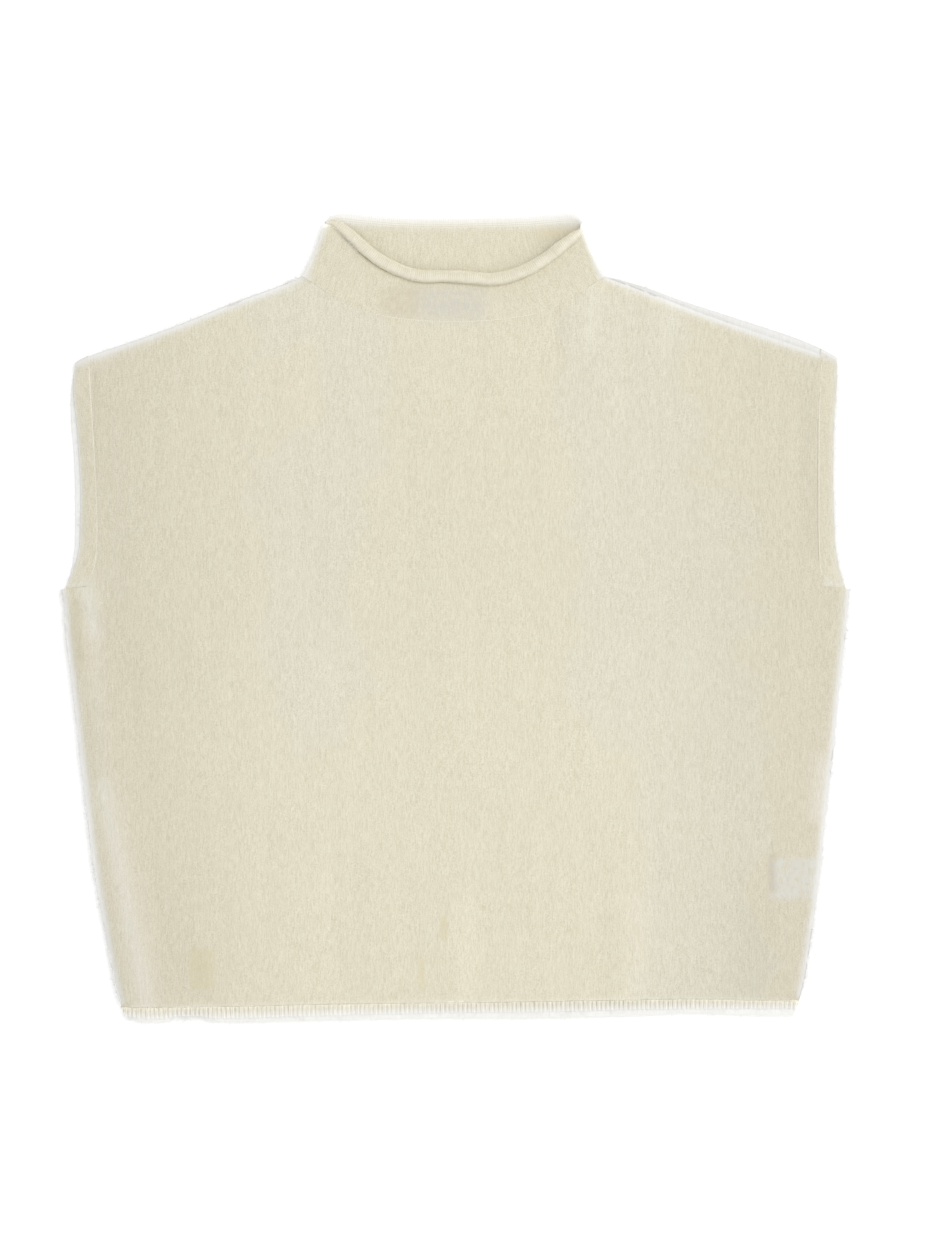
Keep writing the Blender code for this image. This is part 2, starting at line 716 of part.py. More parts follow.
def make_label(collection, name, label):
    """A blank woven label, lying on the inside of the back."""
    centre = (*label["centre"], CLOTH + SEAM_GAP + LABEL_THICKNESS / 2)
    size = (*label["size"], LABEL_THICKNESS)
    mesh = bpy.data.meshes.new(name)
    shape = bmesh.new()
    bmesh.ops.create_cube(shape, size=1.0)
    for vertex in shape.verts:
        vertex.co = [(c + v * s) * MM for c, v, s in zip(centre, vertex.co, size)]
    shape.to_mesh(mesh)
    shape.free()
    mesh.materials.append(knit_material(name, LABEL_WHITE))
    solid = bpy.data.objects.new(name, mesh)
    collection.objects.link(solid)
    return solid


def build():
    for old in list(bpy.data.objects):
        bpy.data.objects.remove(old, do_unlink=True)
    collection = bpy.data.collections.new("sleeveless_sweater")
    bpy.context.scene.collection.children.link(collection)
    make_back(collection)
    make_front(collection)
    make_hem_back(collection)
    make_hem_front(collection)
    make_armhole_band(collection, "armhole_band_left", LEFT_ARMHOLE)
    make_armhole_band(collection, "armhole_band_right", RIGHT_ARMHOLE)
    make_collar(collection)
    make_label(collection, "neck_label", NECK_LABEL)
    make_label(collection, "care_label", CARE_LABEL)


build()
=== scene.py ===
# %% [markdown]
# # A sleeveless funnel-neck sweater, laid flat
#
# The real garment is knitted from a soft cream yarn: two boxy stockinette panels, a funnel neck whose free
# edge rolls outward by itself, a narrow band round each armhole and a short 1x1 rib at the hem. It lies flat
# with its front up and is seen from straight above. The solids give each piece its place and form. This
# lesson dresses them: a finer shell for each piece of cloth, the stitches, the fuzz, and soft daylight.

import math

import bmesh
import bpy
import numpy as np
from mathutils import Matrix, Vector, bvhtree, geometry, kdtree, noise


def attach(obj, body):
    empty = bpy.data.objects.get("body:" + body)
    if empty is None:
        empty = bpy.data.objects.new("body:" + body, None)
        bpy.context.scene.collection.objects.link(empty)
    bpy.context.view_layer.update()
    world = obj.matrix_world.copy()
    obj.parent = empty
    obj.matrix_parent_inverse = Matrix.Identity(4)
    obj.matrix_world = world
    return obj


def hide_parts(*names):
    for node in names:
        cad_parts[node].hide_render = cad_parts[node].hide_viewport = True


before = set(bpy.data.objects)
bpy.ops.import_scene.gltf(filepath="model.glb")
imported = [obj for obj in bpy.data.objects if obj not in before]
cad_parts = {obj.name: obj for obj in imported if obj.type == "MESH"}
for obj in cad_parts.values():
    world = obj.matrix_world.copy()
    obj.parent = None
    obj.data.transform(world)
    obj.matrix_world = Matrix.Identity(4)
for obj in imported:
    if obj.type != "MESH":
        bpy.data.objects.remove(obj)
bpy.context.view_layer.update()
scene = bpy.context.scene
MM = 0.001  # lengths are written in millimetres and multiplied by MM


def placed(name, data):
    """A new object at the origin."""
    thing = bpy.data.objects.new(name, data)
    scene.collection.objects.link(thing)
    return thing


print("pieces of the frame:", sorted(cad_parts))

# %% [markdown]
# ## The camera
#
# The garment is photographed from straight above, with little perspective. A long lens, high over the floor,
# does the same. Its height follows from how much of the floor the picture has to cover, so the garment is as
# large in the picture as it is in the photograph.

# %% Camera
PHOTO_SIZE = (929, 1238)
ORIGIN_PIXEL = (455.0, 619.5)  # where the photograph shows the frame's origin
PIXEL = 0.75 * MM  # the length that one of its pixels covers
LENS = 85.0
SENSOR = 36.0
GARMENT_LEVEL = 5 * MM  # the height at which those lengths hold

camera = placed("camera", bpy.data.cameras.new("camera"))
camera.data.lens = LENS
camera.data.sensor_width = SENSOR
camera_height = GARMENT_LEVEL + LENS / SENSOR * PHOTO_SIZE[1] * PIXEL
camera.location = (
    (PHOTO_SIZE[0] / 2 - ORIGIN_PIXEL[0]) * PIXEL,
    (ORIGIN_PIXEL[1] - PHOTO_SIZE[1] / 2) * PIXEL,
    camera_height,
)
scene.camera = camera
scene.view_settings.view_transform = "Standard"
print(f"camera {camera_height:.2f} m up")

# %% [markdown]
# ## Writing node trees
#
# Materials and Geometry Nodes are both trees of nodes. Written out in full, each node takes four or five
# lines, so a small helper adds a node, plugs in its values, and gives back its first output. The formula of a
# pattern then reads almost like arithmetic.


# %% Helpers for node trees
def socket_of(sockets, key):
    """A socket by its number, or by its name among those that the node's settings switch on."""
    return sockets[key] if isinstance(key, int) else next(s for s in sockets if s.name == key and s.enabled)


class Wiring:
    """Adds nodes to a tree. A value that is another node's socket is linked, any other is set."""

    def __init__(self, tree):
        self.tree = tree

    def add(self, kind, inputs=None, **settings):
        node = self.tree.nodes.new(kind)
        for name, value in settings.items():
            setattr(node, name, value)
        for key, value in (inputs or {}).items():
            socket = socket_of(node.inputs, key)
            if isinstance(value, bpy.types.NodeSocket):
                self.tree.links.new(value, socket)
            else:
                socket.default_value = value
        return node

    def math(self, operation, *values):
        return self.add("ShaderNodeMath", dict(enumerate(values)), operation=operation).outputs[0]

    def smooth(self, value, low, high):
        """0 below low, 1 above high, and a soft step between."""
        inputs = {"Value": value, "From Min": low, "From Max": high}
        return self.add("ShaderNodeMapRange", inputs, interpolation_type="SMOOTHSTEP").outputs[0]

    def blend(self, share, first, second):
        """A mix of two colours, each a socket or three numbers."""
        colours = [c if isinstance(c, bpy.types.NodeSocket) else (*c, 1.0) for c in (first, second)]
        inputs = {"Factor": share, "A": colours[0], "B": colours[1]}
        return socket_of(self.add("ShaderNodeMix", inputs, data_type="RGBA").outputs, "Result")

    def vectors(self, operation, first, second):
        """Arithmetic with a vector and another one, or with a number where the operation is SCALE."""
        key = "Scale" if operation == "SCALE" else 1
        return self.add("ShaderNodeVectorMath", {0: first, key: second}, operation=operation).outputs[0]

    def parts(self, vector):
        return self.add("ShaderNodeSeparateXYZ", {"Vector": vector}).outputs

    def vector(self, x, y, z):
        return self.add("ShaderNodeCombineXYZ", {"X": x, "Y": y, "Z": z}).outputs[0]

    def noise(self, place, scale, **more):
        """Soft noise from 0 to 1. scale is how many bumps there are to a metre."""
        return self.add("ShaderNodeTexNoise", {"Vector": place, "Scale": scale, **more}).outputs["Fac"]


def new_material(name, roughness, specular):
    """A new material, the wiring of its nodes, and its shader."""
    material = bpy.data.materials.new(name)
    material.use_nodes = True
    shader = material.node_tree.nodes["Principled BSDF"]
    shader.inputs["Roughness"].default_value = roughness
    shader.inputs["Specular IOR Level"].default_value = specular
    return material, Wiring(material.node_tree), shader


# %% [markdown]
# ## The knit
#
# Stockinette is rows of V-shaped stitches. Each column of them is a wale, 1.75 mm wide here, and each row is a
# course. The stitches are far too many to model, so the material draws them as a height: two slanting legs
# for each V, with a furrow between wales, which also gets painted shade. The pattern reads the piece's own map,
# which runs across and along its wales in metres, so it turns with the cloth. Where a piece shows the back of
# the fabric, as the rolled edge does, the map is the same and the bumps lie across.

# %% Colours of the yarn
WALE = 1.75 * MM
COURSE = 1.30 * MM
YARN_LIGHT = (0.795, 0.756, 0.612)  # the cream yarn on top of a stitch
YARN_DARK_AND_SHADED = (0.608, 0.561, 0.418)  # darker yarn, and painted shade between stitches and where tone is deepest
COOL = (0.985, 1.000, 1.035)  # the yarn's colour times one of these gives the shades of its broad clouds
ROSY = (1.003, 0.989, 0.992)
VEIL_AND_HIGHLIGHT = (0.850, 0.850, 0.840)  # veil of loose white fibres, and painted highlight on rims and shaded spots
STREAKS = 2.4  # how much the streaks, grain, ripples and painted furrow shade change the yarn's lightness
GRAIN = 2.5
RIPPLES = 0.30
FURROW_SHADE = 0.7


# %% The stitch pattern
def stitch_height(w, across, along, purl):
    """The height of the knit, from 0 in the furrows to 1 on the stitches."""
    column = w.math("SUBTRACT", w.math("FRACT", across), 0.5)
    aside = w.math("ABSOLUTE", column)
    if purl:
        bowed = w.math("MULTIPLY_ADD", aside, 0.5, along)
        row = w.math("COSINE", w.math("MULTIPLY", bowed, 2 * math.pi))
        wave = w.math("COSINE", w.math("MULTIPLY", column, 2 * math.pi))
        return w.math("MULTIPLY_ADD", row, 0.35, w.math("MULTIPLY_ADD", wave, 0.15, 0.5))
    leg = w.math("SUBTRACT", aside, 0.25)
    crest = w.math("SUBTRACT", 1.0, w.math("MULTIPLY", w.math("MULTIPLY", leg, leg), 14.0))
    slant = w.math("MULTIPLY_ADD", aside, 1.5, along)
    row = w.math("SINE", w.math("MULTIPLY", slant, 2 * math.pi))
    return w.math("MULTIPLY", crest, w.math("MULTIPLY_ADD", row, 0.2, 0.8))


def centred(w, pattern):
    """A pattern from 0 to 1, moved to lie about 0."""
    return w.math("SUBTRACT", pattern, 0.5)


def limited(w, share):
    return w.math("MINIMUM", w.math("MAXIMUM", share, 0.0), 1.0)


# %% [markdown]
# The yarn's colour is a mix of its light and its deep shade. Streaks, grain and ripples move the mix to and
# fro,
# and the furrows add painted shade. Then come numbers that a piece's points carry, written on them by name:
# `shade` turns the colour cooler or rosier, the tone makes it lighter or deeper, mostly as painted light and
# shade, and a third number veils it with loose white fibres and painted highlight.

# %% Colour from what the points carry
TONE_STEP = 0.1  # a tone of 1, mostly painted light, makes the colour this much lighter
FIBRE_STEP = 0.06  # a tone of -1, painted shade, makes the loose fibres this much darker
DEEP_TONES = (-0.9, -2.5)  # between these tones the painted shade also turns the colour to the shaded yarn's
DEEP_SHARE = 0.6
VEIL_AND_HIGHLIGHT_RAGGEDNESS = 0.8


def carried(w, name):
    """The number that a piece's points carry under a name."""
    return w.add("ShaderNodeAttribute", attribute_name=name).outputs["Fac"]


def shaded(w, yarn):
    """The yarn's colour, cooler where the shade is above 0 and rosier where it is below."""
    shade = carried(w, "shade")
    for colour, share in ((COOL, shade), (ROSY, w.math("MULTIPLY", shade, -1.0))):
        yarn = w.blend(w.math("MAXIMUM", share, 0.0), yarn, w.vectors("MULTIPLY", yarn, colour))
    return yarn


def toned(w, yarn, streaks):
    """The yarn's colour, lightened or deepened by painted light and shade, under fibres and painted highlight.
    """
    tone = carried(w, "tone")
    yarn = w.vectors("SCALE", yarn, w.math("MULTIPLY_ADD", tone, TONE_STEP, 1.0))
    # Deep painted shade turns the colour towards the shaded yarn's.
    yarn = w.blend(w.math("MULTIPLY", w.smooth(tone, *DEEP_TONES), DEEP_SHARE), yarn, YARN_DARK_AND_SHADED)
    ragged = w.math("MULTIPLY_ADD", centred(w, streaks), VEIL_AND_HIGHLIGHT_RAGGEDNESS, 1.0)
    veil_and_highlight_share = w.math("MINIMUM", w.math("MULTIPLY", carried(w, "bloom"), ragged), 1.0)
    lit = w.math("MULTIPLY_ADD", w.math("MAXIMUM", tone, 0.0), TONE_STEP, 1.0)
    lit = w.math("MULTIPLY_ADD", w.math("MINIMUM", tone, 0.0), FIBRE_STEP, lit)
    return w.blend(veil_and_highlight_share, yarn, w.vectors("SCALE", VEIL_AND_HIGHLIGHT, lit))


# %% The knit's material
STITCH_DEPTH = 0.45 * MM
FUZZ_DEPTH = 0.15 * MM
WANDER = 0.9  # the yarn is uneven, so the wales wander by up to about half of this
STRETCH = (1.0, 0.12, 1.0)  # streaks and ripples run along the wales


def knit_material(name, purl=False, patches=None, contrast=1.0):
    """Soft cream knit. patches adds what shows through the cloth, from the tree, the place and the colour."""
    material, w, shader = new_material(name, roughness=0.92, specular=0.15)
    shader.inputs["Sheen Weight"].default_value = 0.15
    shader.inputs["Sheen Roughness"].default_value = 0.45
    knit_map = w.add("ShaderNodeUVMap", uv_map="knit").outputs["UV"]
    place = w.add("ShaderNodeTexCoord").outputs["Object"]
    wander = w.math("MULTIPLY", centred(w, w.noise(place, 90.0, Detail=2.0)), WANDER)
    shares = w.parts(knit_map)
    across = w.math("ADD", w.math("DIVIDE", shares["X"], WALE), wander)
    along = w.math("ADD", w.math("DIVIDE", shares["Y"], COURSE), wander)
    stitches = stitch_height(w, across, along, purl)
    stretched = w.add("ShaderNodeMapping", {"Vector": knit_map, "Scale": STRETCH}).outputs[0]
    streaks = w.noise(stretched, 1100.0, Detail=3.0, Roughness=0.8, Distortion=0.6)
    ripples = w.noise(stretched, 120.0, Detail=2.0)
    fuzz = w.noise(place, 1700.0, Detail=1.0, Distortion=0.6)
    light = 0.5
    for pattern, strength in ((streaks, STREAKS), (fuzz, GRAIN), (ripples, RIPPLES)):
        light = w.math("MULTIPLY_ADD", centred(w, pattern), strength * contrast, light)
    # The furrows between wales get painted shade.
    light = w.math("MULTIPLY_ADD", w.math("SUBTRACT", w.smooth(stitches, -0.2, 0.9), 0.6), FURROW_SHADE, light)
    yarn = shaded(w, w.blend(limited(w, light), YARN_DARK_AND_SHADED, YARN_LIGHT))
    if patches:
        yarn = patches(w, place, yarn)
    w.tree.links.new(toned(w, yarn, streaks), shader.inputs["Base Color"])
    soft = w.add("ShaderNodeBump", {"Height": fuzz, "Distance": FUZZ_DEPTH, "Strength": 0.6}).outputs[0]
    relief = {"Height": stitches, "Distance": STITCH_DEPTH, "Strength": 0.6, "Normal": soft}
    w.tree.links.new(w.add("ShaderNodeBump", relief).outputs[0], shader.inputs["Normal"])
    return material


# %% [markdown]
# The two labels inside the garment show through the thin front, and the colour is warmer and deeper in a few
# small spots; the one on the collar, in the neck's inner right corner, is painted shade. The front's material,
# which the collar also wears, tints a soft-edged rectangle at each of these places. The labels themselves are
# blank.

# %% Tinted patches
# centre, half size and soft edge in millimetres, the colour, and the least and greatest share of it
PATCHES = (
    ((-190, -262), (9, 15), 5, (0.690, 0.630, 0.415), (0.30, 0.60)),
    ((-8.5, -231), (2.5, 9), 3, (0.680, 0.605, 0.400), (0.30, 0.60)),
    ((-25, -266), (2.5, 11), 3, (0.700, 0.630, 0.420), (0.30, 0.60)),
    ((-40, 238), (15, 11), 14, (0.600, 0.530, 0.395), (0.25, 0.60)),
    ((-3, 237), (25, 12), 18, (0.610, 0.590, 0.530), (0.28, 0.75)),
    ((254, -195), (17.5, 15.5), 6, (0.755, 0.760, 0.730), (0.15, 0.72)),
    ((-284.5, -12), (5, 26), 6, (0.620, 0.560, 0.400), (0.20, 0.45)),
    ((237.5, -190), (3, 14), 5, (0.550, 0.500, 0.390), (0.25, 0.50)),
    # the neck's inner right corner, on the collar: painted shade
    ((77, 290), (15, 5), 10, (0.720, 0.635, 0.445), (0.30, 0.60)),
)


def over_patch(w, place, centre, half, soft):
    """1 over a patch and 0 away from it, with a soft edge."""
    share = 1.0
    for axis in (0, 1):
        away = w.math("ABSOLUTE", w.math("SUBTRACT", w.parts(place)[axis], centre[axis] * MM))
        inside = w.smooth(away, (half[axis] + soft / 2) * MM, (half[axis] - soft / 2) * MM)
        share = w.math("MULTIPLY", share, inside)
    return share


def tinted_patches(w, place, yarn):
    """The yarn's colour, changed at the patches."""
    speckle = w.smooth(w.noise(place, 300.0, Detail=3.0), 0.3, 0.7)
    for centre, half, soft, colour, (least, most) in PATCHES:
        share = w.math("MULTIPLY_ADD", speckle, most - least, least)
        yarn = w.blend(w.math("MULTIPLY", share, over_patch(w, place, centre, half, soft)), yarn, colour)
    return yarn


body_knit = knit_material("body_knit", patches=tinted_patches)
plain_knit = knit_material("plain_knit")
purl_knit = knit_material("purl_knit", purl=True, contrast=0.55)
print("materials:", [material.name for material in bpy.data.materials])


# %% [markdown]
# ## Smooth curves
#
# Cloth has no straight runs and sudden bends. A few helpers read short tables and coarse outlines as smooth
# curves.


# %% Helpers for curves
def smooth_lookup(rows, where):
    """A table's later columns, read smoothly at values of its first column."""
    table = np.array(rows, float)
    knots, values = table[:, 0], table[:, 1:]
    slopes = np.gradient(values, knots, axis=0)
    where = np.clip(where, knots[0], knots[-1])
    k = np.clip(np.searchsorted(knots, where, side="right") - 1, 0, len(knots) - 2)
    width = knots[k + 1] - knots[k]
    t = ((where - knots[k]) / width)[:, None]
    width = width[:, None]
    before = (1 + 2 * t) * (1 - t) ** 2 * values[k] + t * (1 - t) ** 2 * width * slopes[k]
    after = t**2 * (3 - 2 * t) * values[k + 1] + t**2 * (t - 1) * width * slopes[k + 1]
    return before + after


def resample(rows, count):
    """count rows, evenly spaced by their first two columns, on a smooth curve through a table's rows."""
    table = np.array(rows, float)
    travelled = np.concatenate(([0.0], np.cumsum(np.hypot(*np.diff(table[:, :2], axis=0).T))))
    return smooth_lookup(np.column_stack((travelled, table)), np.linspace(0, travelled[-1], count))


def ease(t):
    """0 to 1 with a level start and end."""
    t = np.clip(t, 0.0, 1.0)
    return t * t * (3 - 2 * t)


def unit(vectors):
    return vectors / np.linalg.norm(vectors, axis=1)[:, None]


def at_height(line, height):
    """A line of the plan, laid at a height."""
    return np.column_stack((line, np.full(len(line), height)))


# %% Helpers for distances
def nearest(points, line):
    """How far points of the plan lie from the nearest of a line's own points, and that point's number."""
    tree = kdtree.KDTree(len(line))
    for number, place in enumerate(line):
        tree.insert((place[0], place[1], 0.0), number)
    tree.balance()
    found = [tree.find((x, y, 0.0)) for x, y in points]
    return np.array([away for _, _, away in found]), [number for _, number, _ in found]


def distance_to(points, line):
    return nearest(points, line)[0]


def to_line(points, line):
    """Distances of points from the straight line between two places, which are in millimetres."""
    start, end = np.array(line[:2]) * MM, np.array(line[2:4]) * MM
    share = np.clip((points - start) @ (end - start) / ((end - start) @ (end - start)), 0, 1)
    return np.linalg.norm(points - start - share[:, None] * (end - start), axis=1)


def soft_band(points, line, half_width):
    """1 on a straight line, and softly less beside it, with a half width in millimetres."""
    return np.exp(-((to_line(points, line) / (half_width * MM)) ** 2))


# %% [markdown]
# ## Where the seams run
#
# Two pieces meet at every seam, so the seams are written down once, in millimetres. An outline that runs close
# to one of them is joined. Every other stretch of an outline is a free edge, where the cloth is thin and fuzzy.

# %% The seams
# Necklines, from left to right: place across, height, in millimetres
FRONT_NECKLINE = (
    (-112.6, 257), (-103, 250.6), (-92, 242.6), (-72, 232.6), (-40, 225.6), (-2, 223.4), (36, 225.4),
    (70, 232.4), (91, 243.6), (101, 251), (110.2, 257),
)
BACK_NECKLINE = (
    (-112.6, 257), (-80, 253.6), (-40, 251.4), (0, 250.8), (40, 251.4), (80, 253.6), (110.2, 257),
)
# From the underarm to the shoulder: seam x, seam y, front edge x, back edge x, edge y
LEFT_ARMHOLE = (
    (-276.5, 27, -291.6, -291.6, 25), (-271, 38, -286, -287.8, 36), (-269, 52, -281.8, -285.2, 51),
    (-268.6, 75, -280.4, -284.5, 75), (-269.3, 100, -280.2, -284.6, 100), (-270.6, 125, -281.4, -285.6, 125),
    (-272.2, 150, -283.6, -287.6, 150), (-273.6, 173, -285.6, -287.6, 171),
    (-274.9, 195, -284.6, -284.6, 190.8),
)
RIGHT_ARMHOLE = (
    (277, 27, 292.6, 292.6, 25), (274.2, 38, 288.6, 289.8, 36), (273.4, 52, 285.6, 287.6, 51),
    (273, 75, 284.2, 286, 75), (273, 100, 283.4, 285.2, 100), (273, 125, 283.4, 285.2, 125),
    (273.2, 150, 284.2, 286, 150), (274, 173, 285.6, 287.4, 171), (275, 196.5, 286.4, 286.4, 190.8),
)
# The hem seam, from left to right: place across, height
HEM_SEAM = (
    (-252, -290.8), (-233, -290.6), (-180, -289.9), (-101, -288.2), (-20, -287), (64, -285.9), (139, -284.6),
    (184, -284.3), (220, -285), (259, -285.9),
)


def seam_points():
    """Points all along the neck, hem and armhole seams of the front."""
    tables = (LEFT_ARMHOLE, RIGHT_ARMHOLE)
    armholes = [resample(np.array(rows)[:, :2], 120) for rows in tables]
    underarms = [resample([rows[0][:2], (rows[0][2], rows[0][4])], 12) for rows in tables]
    necks = [resample(np.array(rows), 160) for rows in (FRONT_NECKLINE, BACK_NECKLINE)]
    return np.vstack((*necks, *armholes, *underarms, resample(np.array(HEM_SEAM), 320))) * MM


seams = seam_points()
print(len(seams), "points along the seams")

# %% [markdown]
# ## Reading a panel from its solid
#
# A panel's solid has the right outline, thickness and folds, but few faces. A merged copy of it gives two
# things: the closed outline of its upper side, which is resampled every 2.5 mm, and its heights, found by
# looking down on it and up at it. The fine shell is then a plan full of points, triangulated once and used
# twice, for the outside and the inside of the cloth.

# %% The outline of a solid
OUTLINE_STEP = 2.5 * MM
CORNER = math.radians(28)  # an outline turns sharper than this only at a corner
UPWARD = 0.05  # a face belongs to the upper side if its normal points up at least this much


def merged_copy(node):
    """A node's shape with its loose triangles joined."""
    shape = bmesh.new()
    shape.from_mesh(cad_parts[node].data)
    bmesh.ops.remove_doubles(shape, verts=shape.verts, dist=0.01 * MM)
    shape.verts.index_update()
    return shape


def top_outline(shape):
    """The closed edge of a shape's upward faces, counterclockwise as seen from above."""
    upper = {face for face in shape.faces if face.normal.z > UPWARD}
    follows = {}
    for face in upper:
        for corner in face.loops:
            if not any(other in upper for other in corner.edge.link_faces if other is not face):
                follows[corner.vert.index] = corner.link_loop_next.vert.index
    start = min(follows)
    order = [start]
    while follows[order[-1]] != start:
        order.append(follows[order[-1]])
    shape.verts.ensure_lookup_table()
    return np.array([shape.verts[index].co.xy for index in order])


def even_outline(loop, step):
    """A closed outline with evenly spaced points, smooth between its corners."""
    along = np.roll(loop, -1, axis=0) - loop
    heading = np.arctan2(along[:, 1], along[:, 0])
    turn = np.abs((heading - np.roll(heading, 1) + math.pi) % (2 * math.pi) - math.pi)
    corners = np.flatnonzero(turn > CORNER)
    loop = np.roll(loop, -corners[0], axis=0)
    loop = np.vstack((loop, loop[:1]))
    stops = [*(corners - corners[0]), len(loop) - 1]
    stretches = []
    for start, end in zip(stops[:-1], stops[1:]):
        rows = loop[start : end + 1]
        length = np.hypot(*np.diff(rows, axis=0).T).sum()
        stretches.append(resample(rows, max(2, round(length / step) + 1))[:-1])
    return np.vstack(stretches)


def inset(loop, distance):
    """A closed outline, counterclockwise, moved inwards by a distance."""
    along = unit(np.roll(loop, -1, axis=0) - np.roll(loop, 1, axis=0))
    return loop + distance * np.column_stack((-along[:, 1], along[:, 0]))


def inside(points, loop):
    """Which points lie inside a closed outline."""
    found = np.zeros(len(points), bool)
    for (x1, y1), (x2, y2) in zip(loop, np.roll(loop, -1, axis=0)):
        if y1 == y2:
            continue
        crosses = (points[:, 1] > y1) != (points[:, 1] > y2)
        found ^= crosses & (points[:, 0] < x1 + (x2 - x1) * (points[:, 1] - y1) / (y2 - y1))
    return found


# %% [markdown]
# A ray that starts far above or below a point of the plan finds the solid there. A point on the very edge can
# miss it. It is tried again a hair further in, and then the nearest point of the solid is taken.

# %% Heights of a solid
FAR_OFF = 0.1  # rays start this many metres above and below
NUDGE = 0.02 * MM


def heights(shape, points, outline):
    """Heights of a shape's upper and lower faces at points of its plan."""
    surface = bvhtree.BVHTree.FromBMesh(shape)
    middle = outline.mean(axis=0)
    found = []
    for direction, start in ((-1, FAR_OFF), (1, -FAR_OFF)):
        column = []
        for point in points:
            hit = surface.ray_cast((*point, start), (0, 0, direction))[0]
            if hit is None:
                closer = point + (middle - point) * NUDGE / np.linalg.norm(middle - point)
                hit = surface.ray_cast((*closer, start), (0, 0, direction))[0]
            if hit is None:
                hit = surface.find_nearest((*point, -direction * 0.01))[0]
            column.append(hit.z)
        found.append(np.array(column))
    return found


# %% [markdown]
# The plan of a shell has rings of points just inside the outline, where the cloth rounds over, and an even
# spread of points in rows everywhere else. The heights that come from the coarse solid have flat facets, so
# they are relaxed away from the edges, each point moving to the mean of its neighbours a few times.

# %% The plan of a shell
RINGS = (0.5 * MM, 1.3 * MM, 2.4 * MM, 4.0 * MM)


def plan_of(outline, spacing):
    """Points and triangles that fill an outline."""
    fill = [outline]
    for distance in RINGS:
        ring = inset(outline, distance)
        fill.append(ring[inside(ring, outline) & (distance_to(ring, outline) > 0.8 * distance)])
    low, high = outline.min(0), outline.max(0)
    rows = []
    for number, y in enumerate(np.arange(low[1], high[1], spacing * math.sqrt(0.75))):
        across = np.arange(low[0] + spacing * (number % 2) / 2, high[0], spacing)
        rows.append(at_height(across, y))
    rows = np.vstack(rows)
    rows = rows[inside(rows, outline)]
    fill.append(rows[distance_to(rows, outline) > RINGS[-1] + spacing / 2])
    points = np.vstack(fill)
    count = len(outline)
    edges = [(k, (k + 1) % count) for k in range(count)]
    filled = geometry.delaunay_2d_cdt([Vector(point) for point in points], edges, [], 1, 1e-7)
    return np.array([tuple(point) for point in filled[0]]), filled[2]


def relaxed(values, triangles, fixed, rounds):
    """Values at points, each moved to the mean of its neighbours' as far as it isn't fixed."""
    corners = np.array(triangles)
    pairs = np.vstack([corners[:, [a, b]] for a, b in ((0, 1), (1, 2), (2, 0), (1, 0), (2, 1), (0, 2))])
    count = np.bincount(pairs[:, 0], minlength=len(values))
    for _ in range(rounds):
        mean = np.bincount(pairs[:, 0], values[pairs[:, 1]], len(values)) / count
        values = values + (1 - fixed) * (mean - values)
    return values


# %% [markdown]
# A mesh starts as plain points and faces. It also carries a knit map, and the named numbers that its material
# reads.

# %% Helpers for meshes
def new_object(name, points, faces, materials):
    """A smooth mesh object at the origin."""
    mesh = bpy.data.meshes.new(name)
    mesh.from_pydata(np.array(points).tolist(), [], faces)
    mesh.shade_smooth()
    for material in materials:
        mesh.materials.append(material)
    return placed(name, mesh)


def set_map(piece, places):
    """Writes the piece's knit map: for each point, how far across and along the wales it lies."""
    layer = piece.data.uv_layers.new(name="knit")
    corners = np.zeros(len(piece.data.loops), int)
    piece.data.loops.foreach_get("vertex_index", corners)
    layer.data.foreach_set("uv", np.array(places, np.float32)[corners].ravel())


def write_values(piece, name, values):
    """Writes one number for each point of a piece, which its material reads by name."""
    attribute = piece.data.attributes.new(name, "FLOAT", "POINT")
    attribute.data.foreach_set("value", np.array(values, np.float32).ravel())


def lines_of(loop, keep):
    """The stretches of a closed outline whose points are kept."""
    if keep.all():
        return [np.arange(len(loop) + 1) % len(loop)]
    lines = []
    for start in np.flatnonzero(keep & ~np.roll(keep, 1)):
        length = 1
        while keep[(start + length) % len(loop)]:
            length += 1
        if length > 2:
            lines.append(np.arange(start, start + length) % len(loop))
    return lines


# %% [markdown]
# In a few places the cloth's edge lies a little further in than the solid's, so a shell's points are nudged
# there.

# %% Small corrections of the outlines
# start x, start y, end x, end y, half width, and the move across and up
NUDGES = (
    (-292, 12, -252, -286, 10, 1.8, 0), (-248, -301, -244, -301, 6, 0.5, 1.5),
    (-208, -303, -192, -303, 7, 0, 2.6), (262, -230, 258, -290, 8, -1.2, 0),
)


def nudged(points):
    """Points of the plan, moved a little where the cloth lies further in than the solid's edge."""
    moves = np.zeros_like(points)
    for *line, half_width, across, up in NUDGES:
        moves += soft_band(points, line, half_width)[:, None] * [across * MM, up * MM]
    return points + moves


# %% [markdown]
# Now a shell can be made: the plan's points above and below, and a strip of faces round the rim. Where the edge
# is joined it reaches a little into the seam. Where it is free, loose fibres and a painted highlight veil it.

# %% A shell of cloth on a panel's solid
SEAM_REACH = 0.15 * MM  # every piece reaches this far into the 0.3 mm gap that the solids leave at a seam
SEAM_WIDTH = 3.0 * MM  # an outline closer than this to a seam is joined there
VEIL_AND_HIGHLIGHT_WIDTH = 6.0 * MM  # width of the fibres' veil and painted highlight, and how thick it is at the edge
EDGE_VEIL_AND_HIGHLIGHT = 0.85
EDGE_START = 3.0 * MM  # heights are the solid's up to here, and fully relaxed further in by EDGE_WIDTH
EDGE_WIDTH = 6.0 * MM
RELAXING_ROUNDS = 14
RIM_ANGLE = math.radians(50)  # faces that meet at more than this keep a crisp edge
free_edges = {}  # each shell's free edges, as lines of points


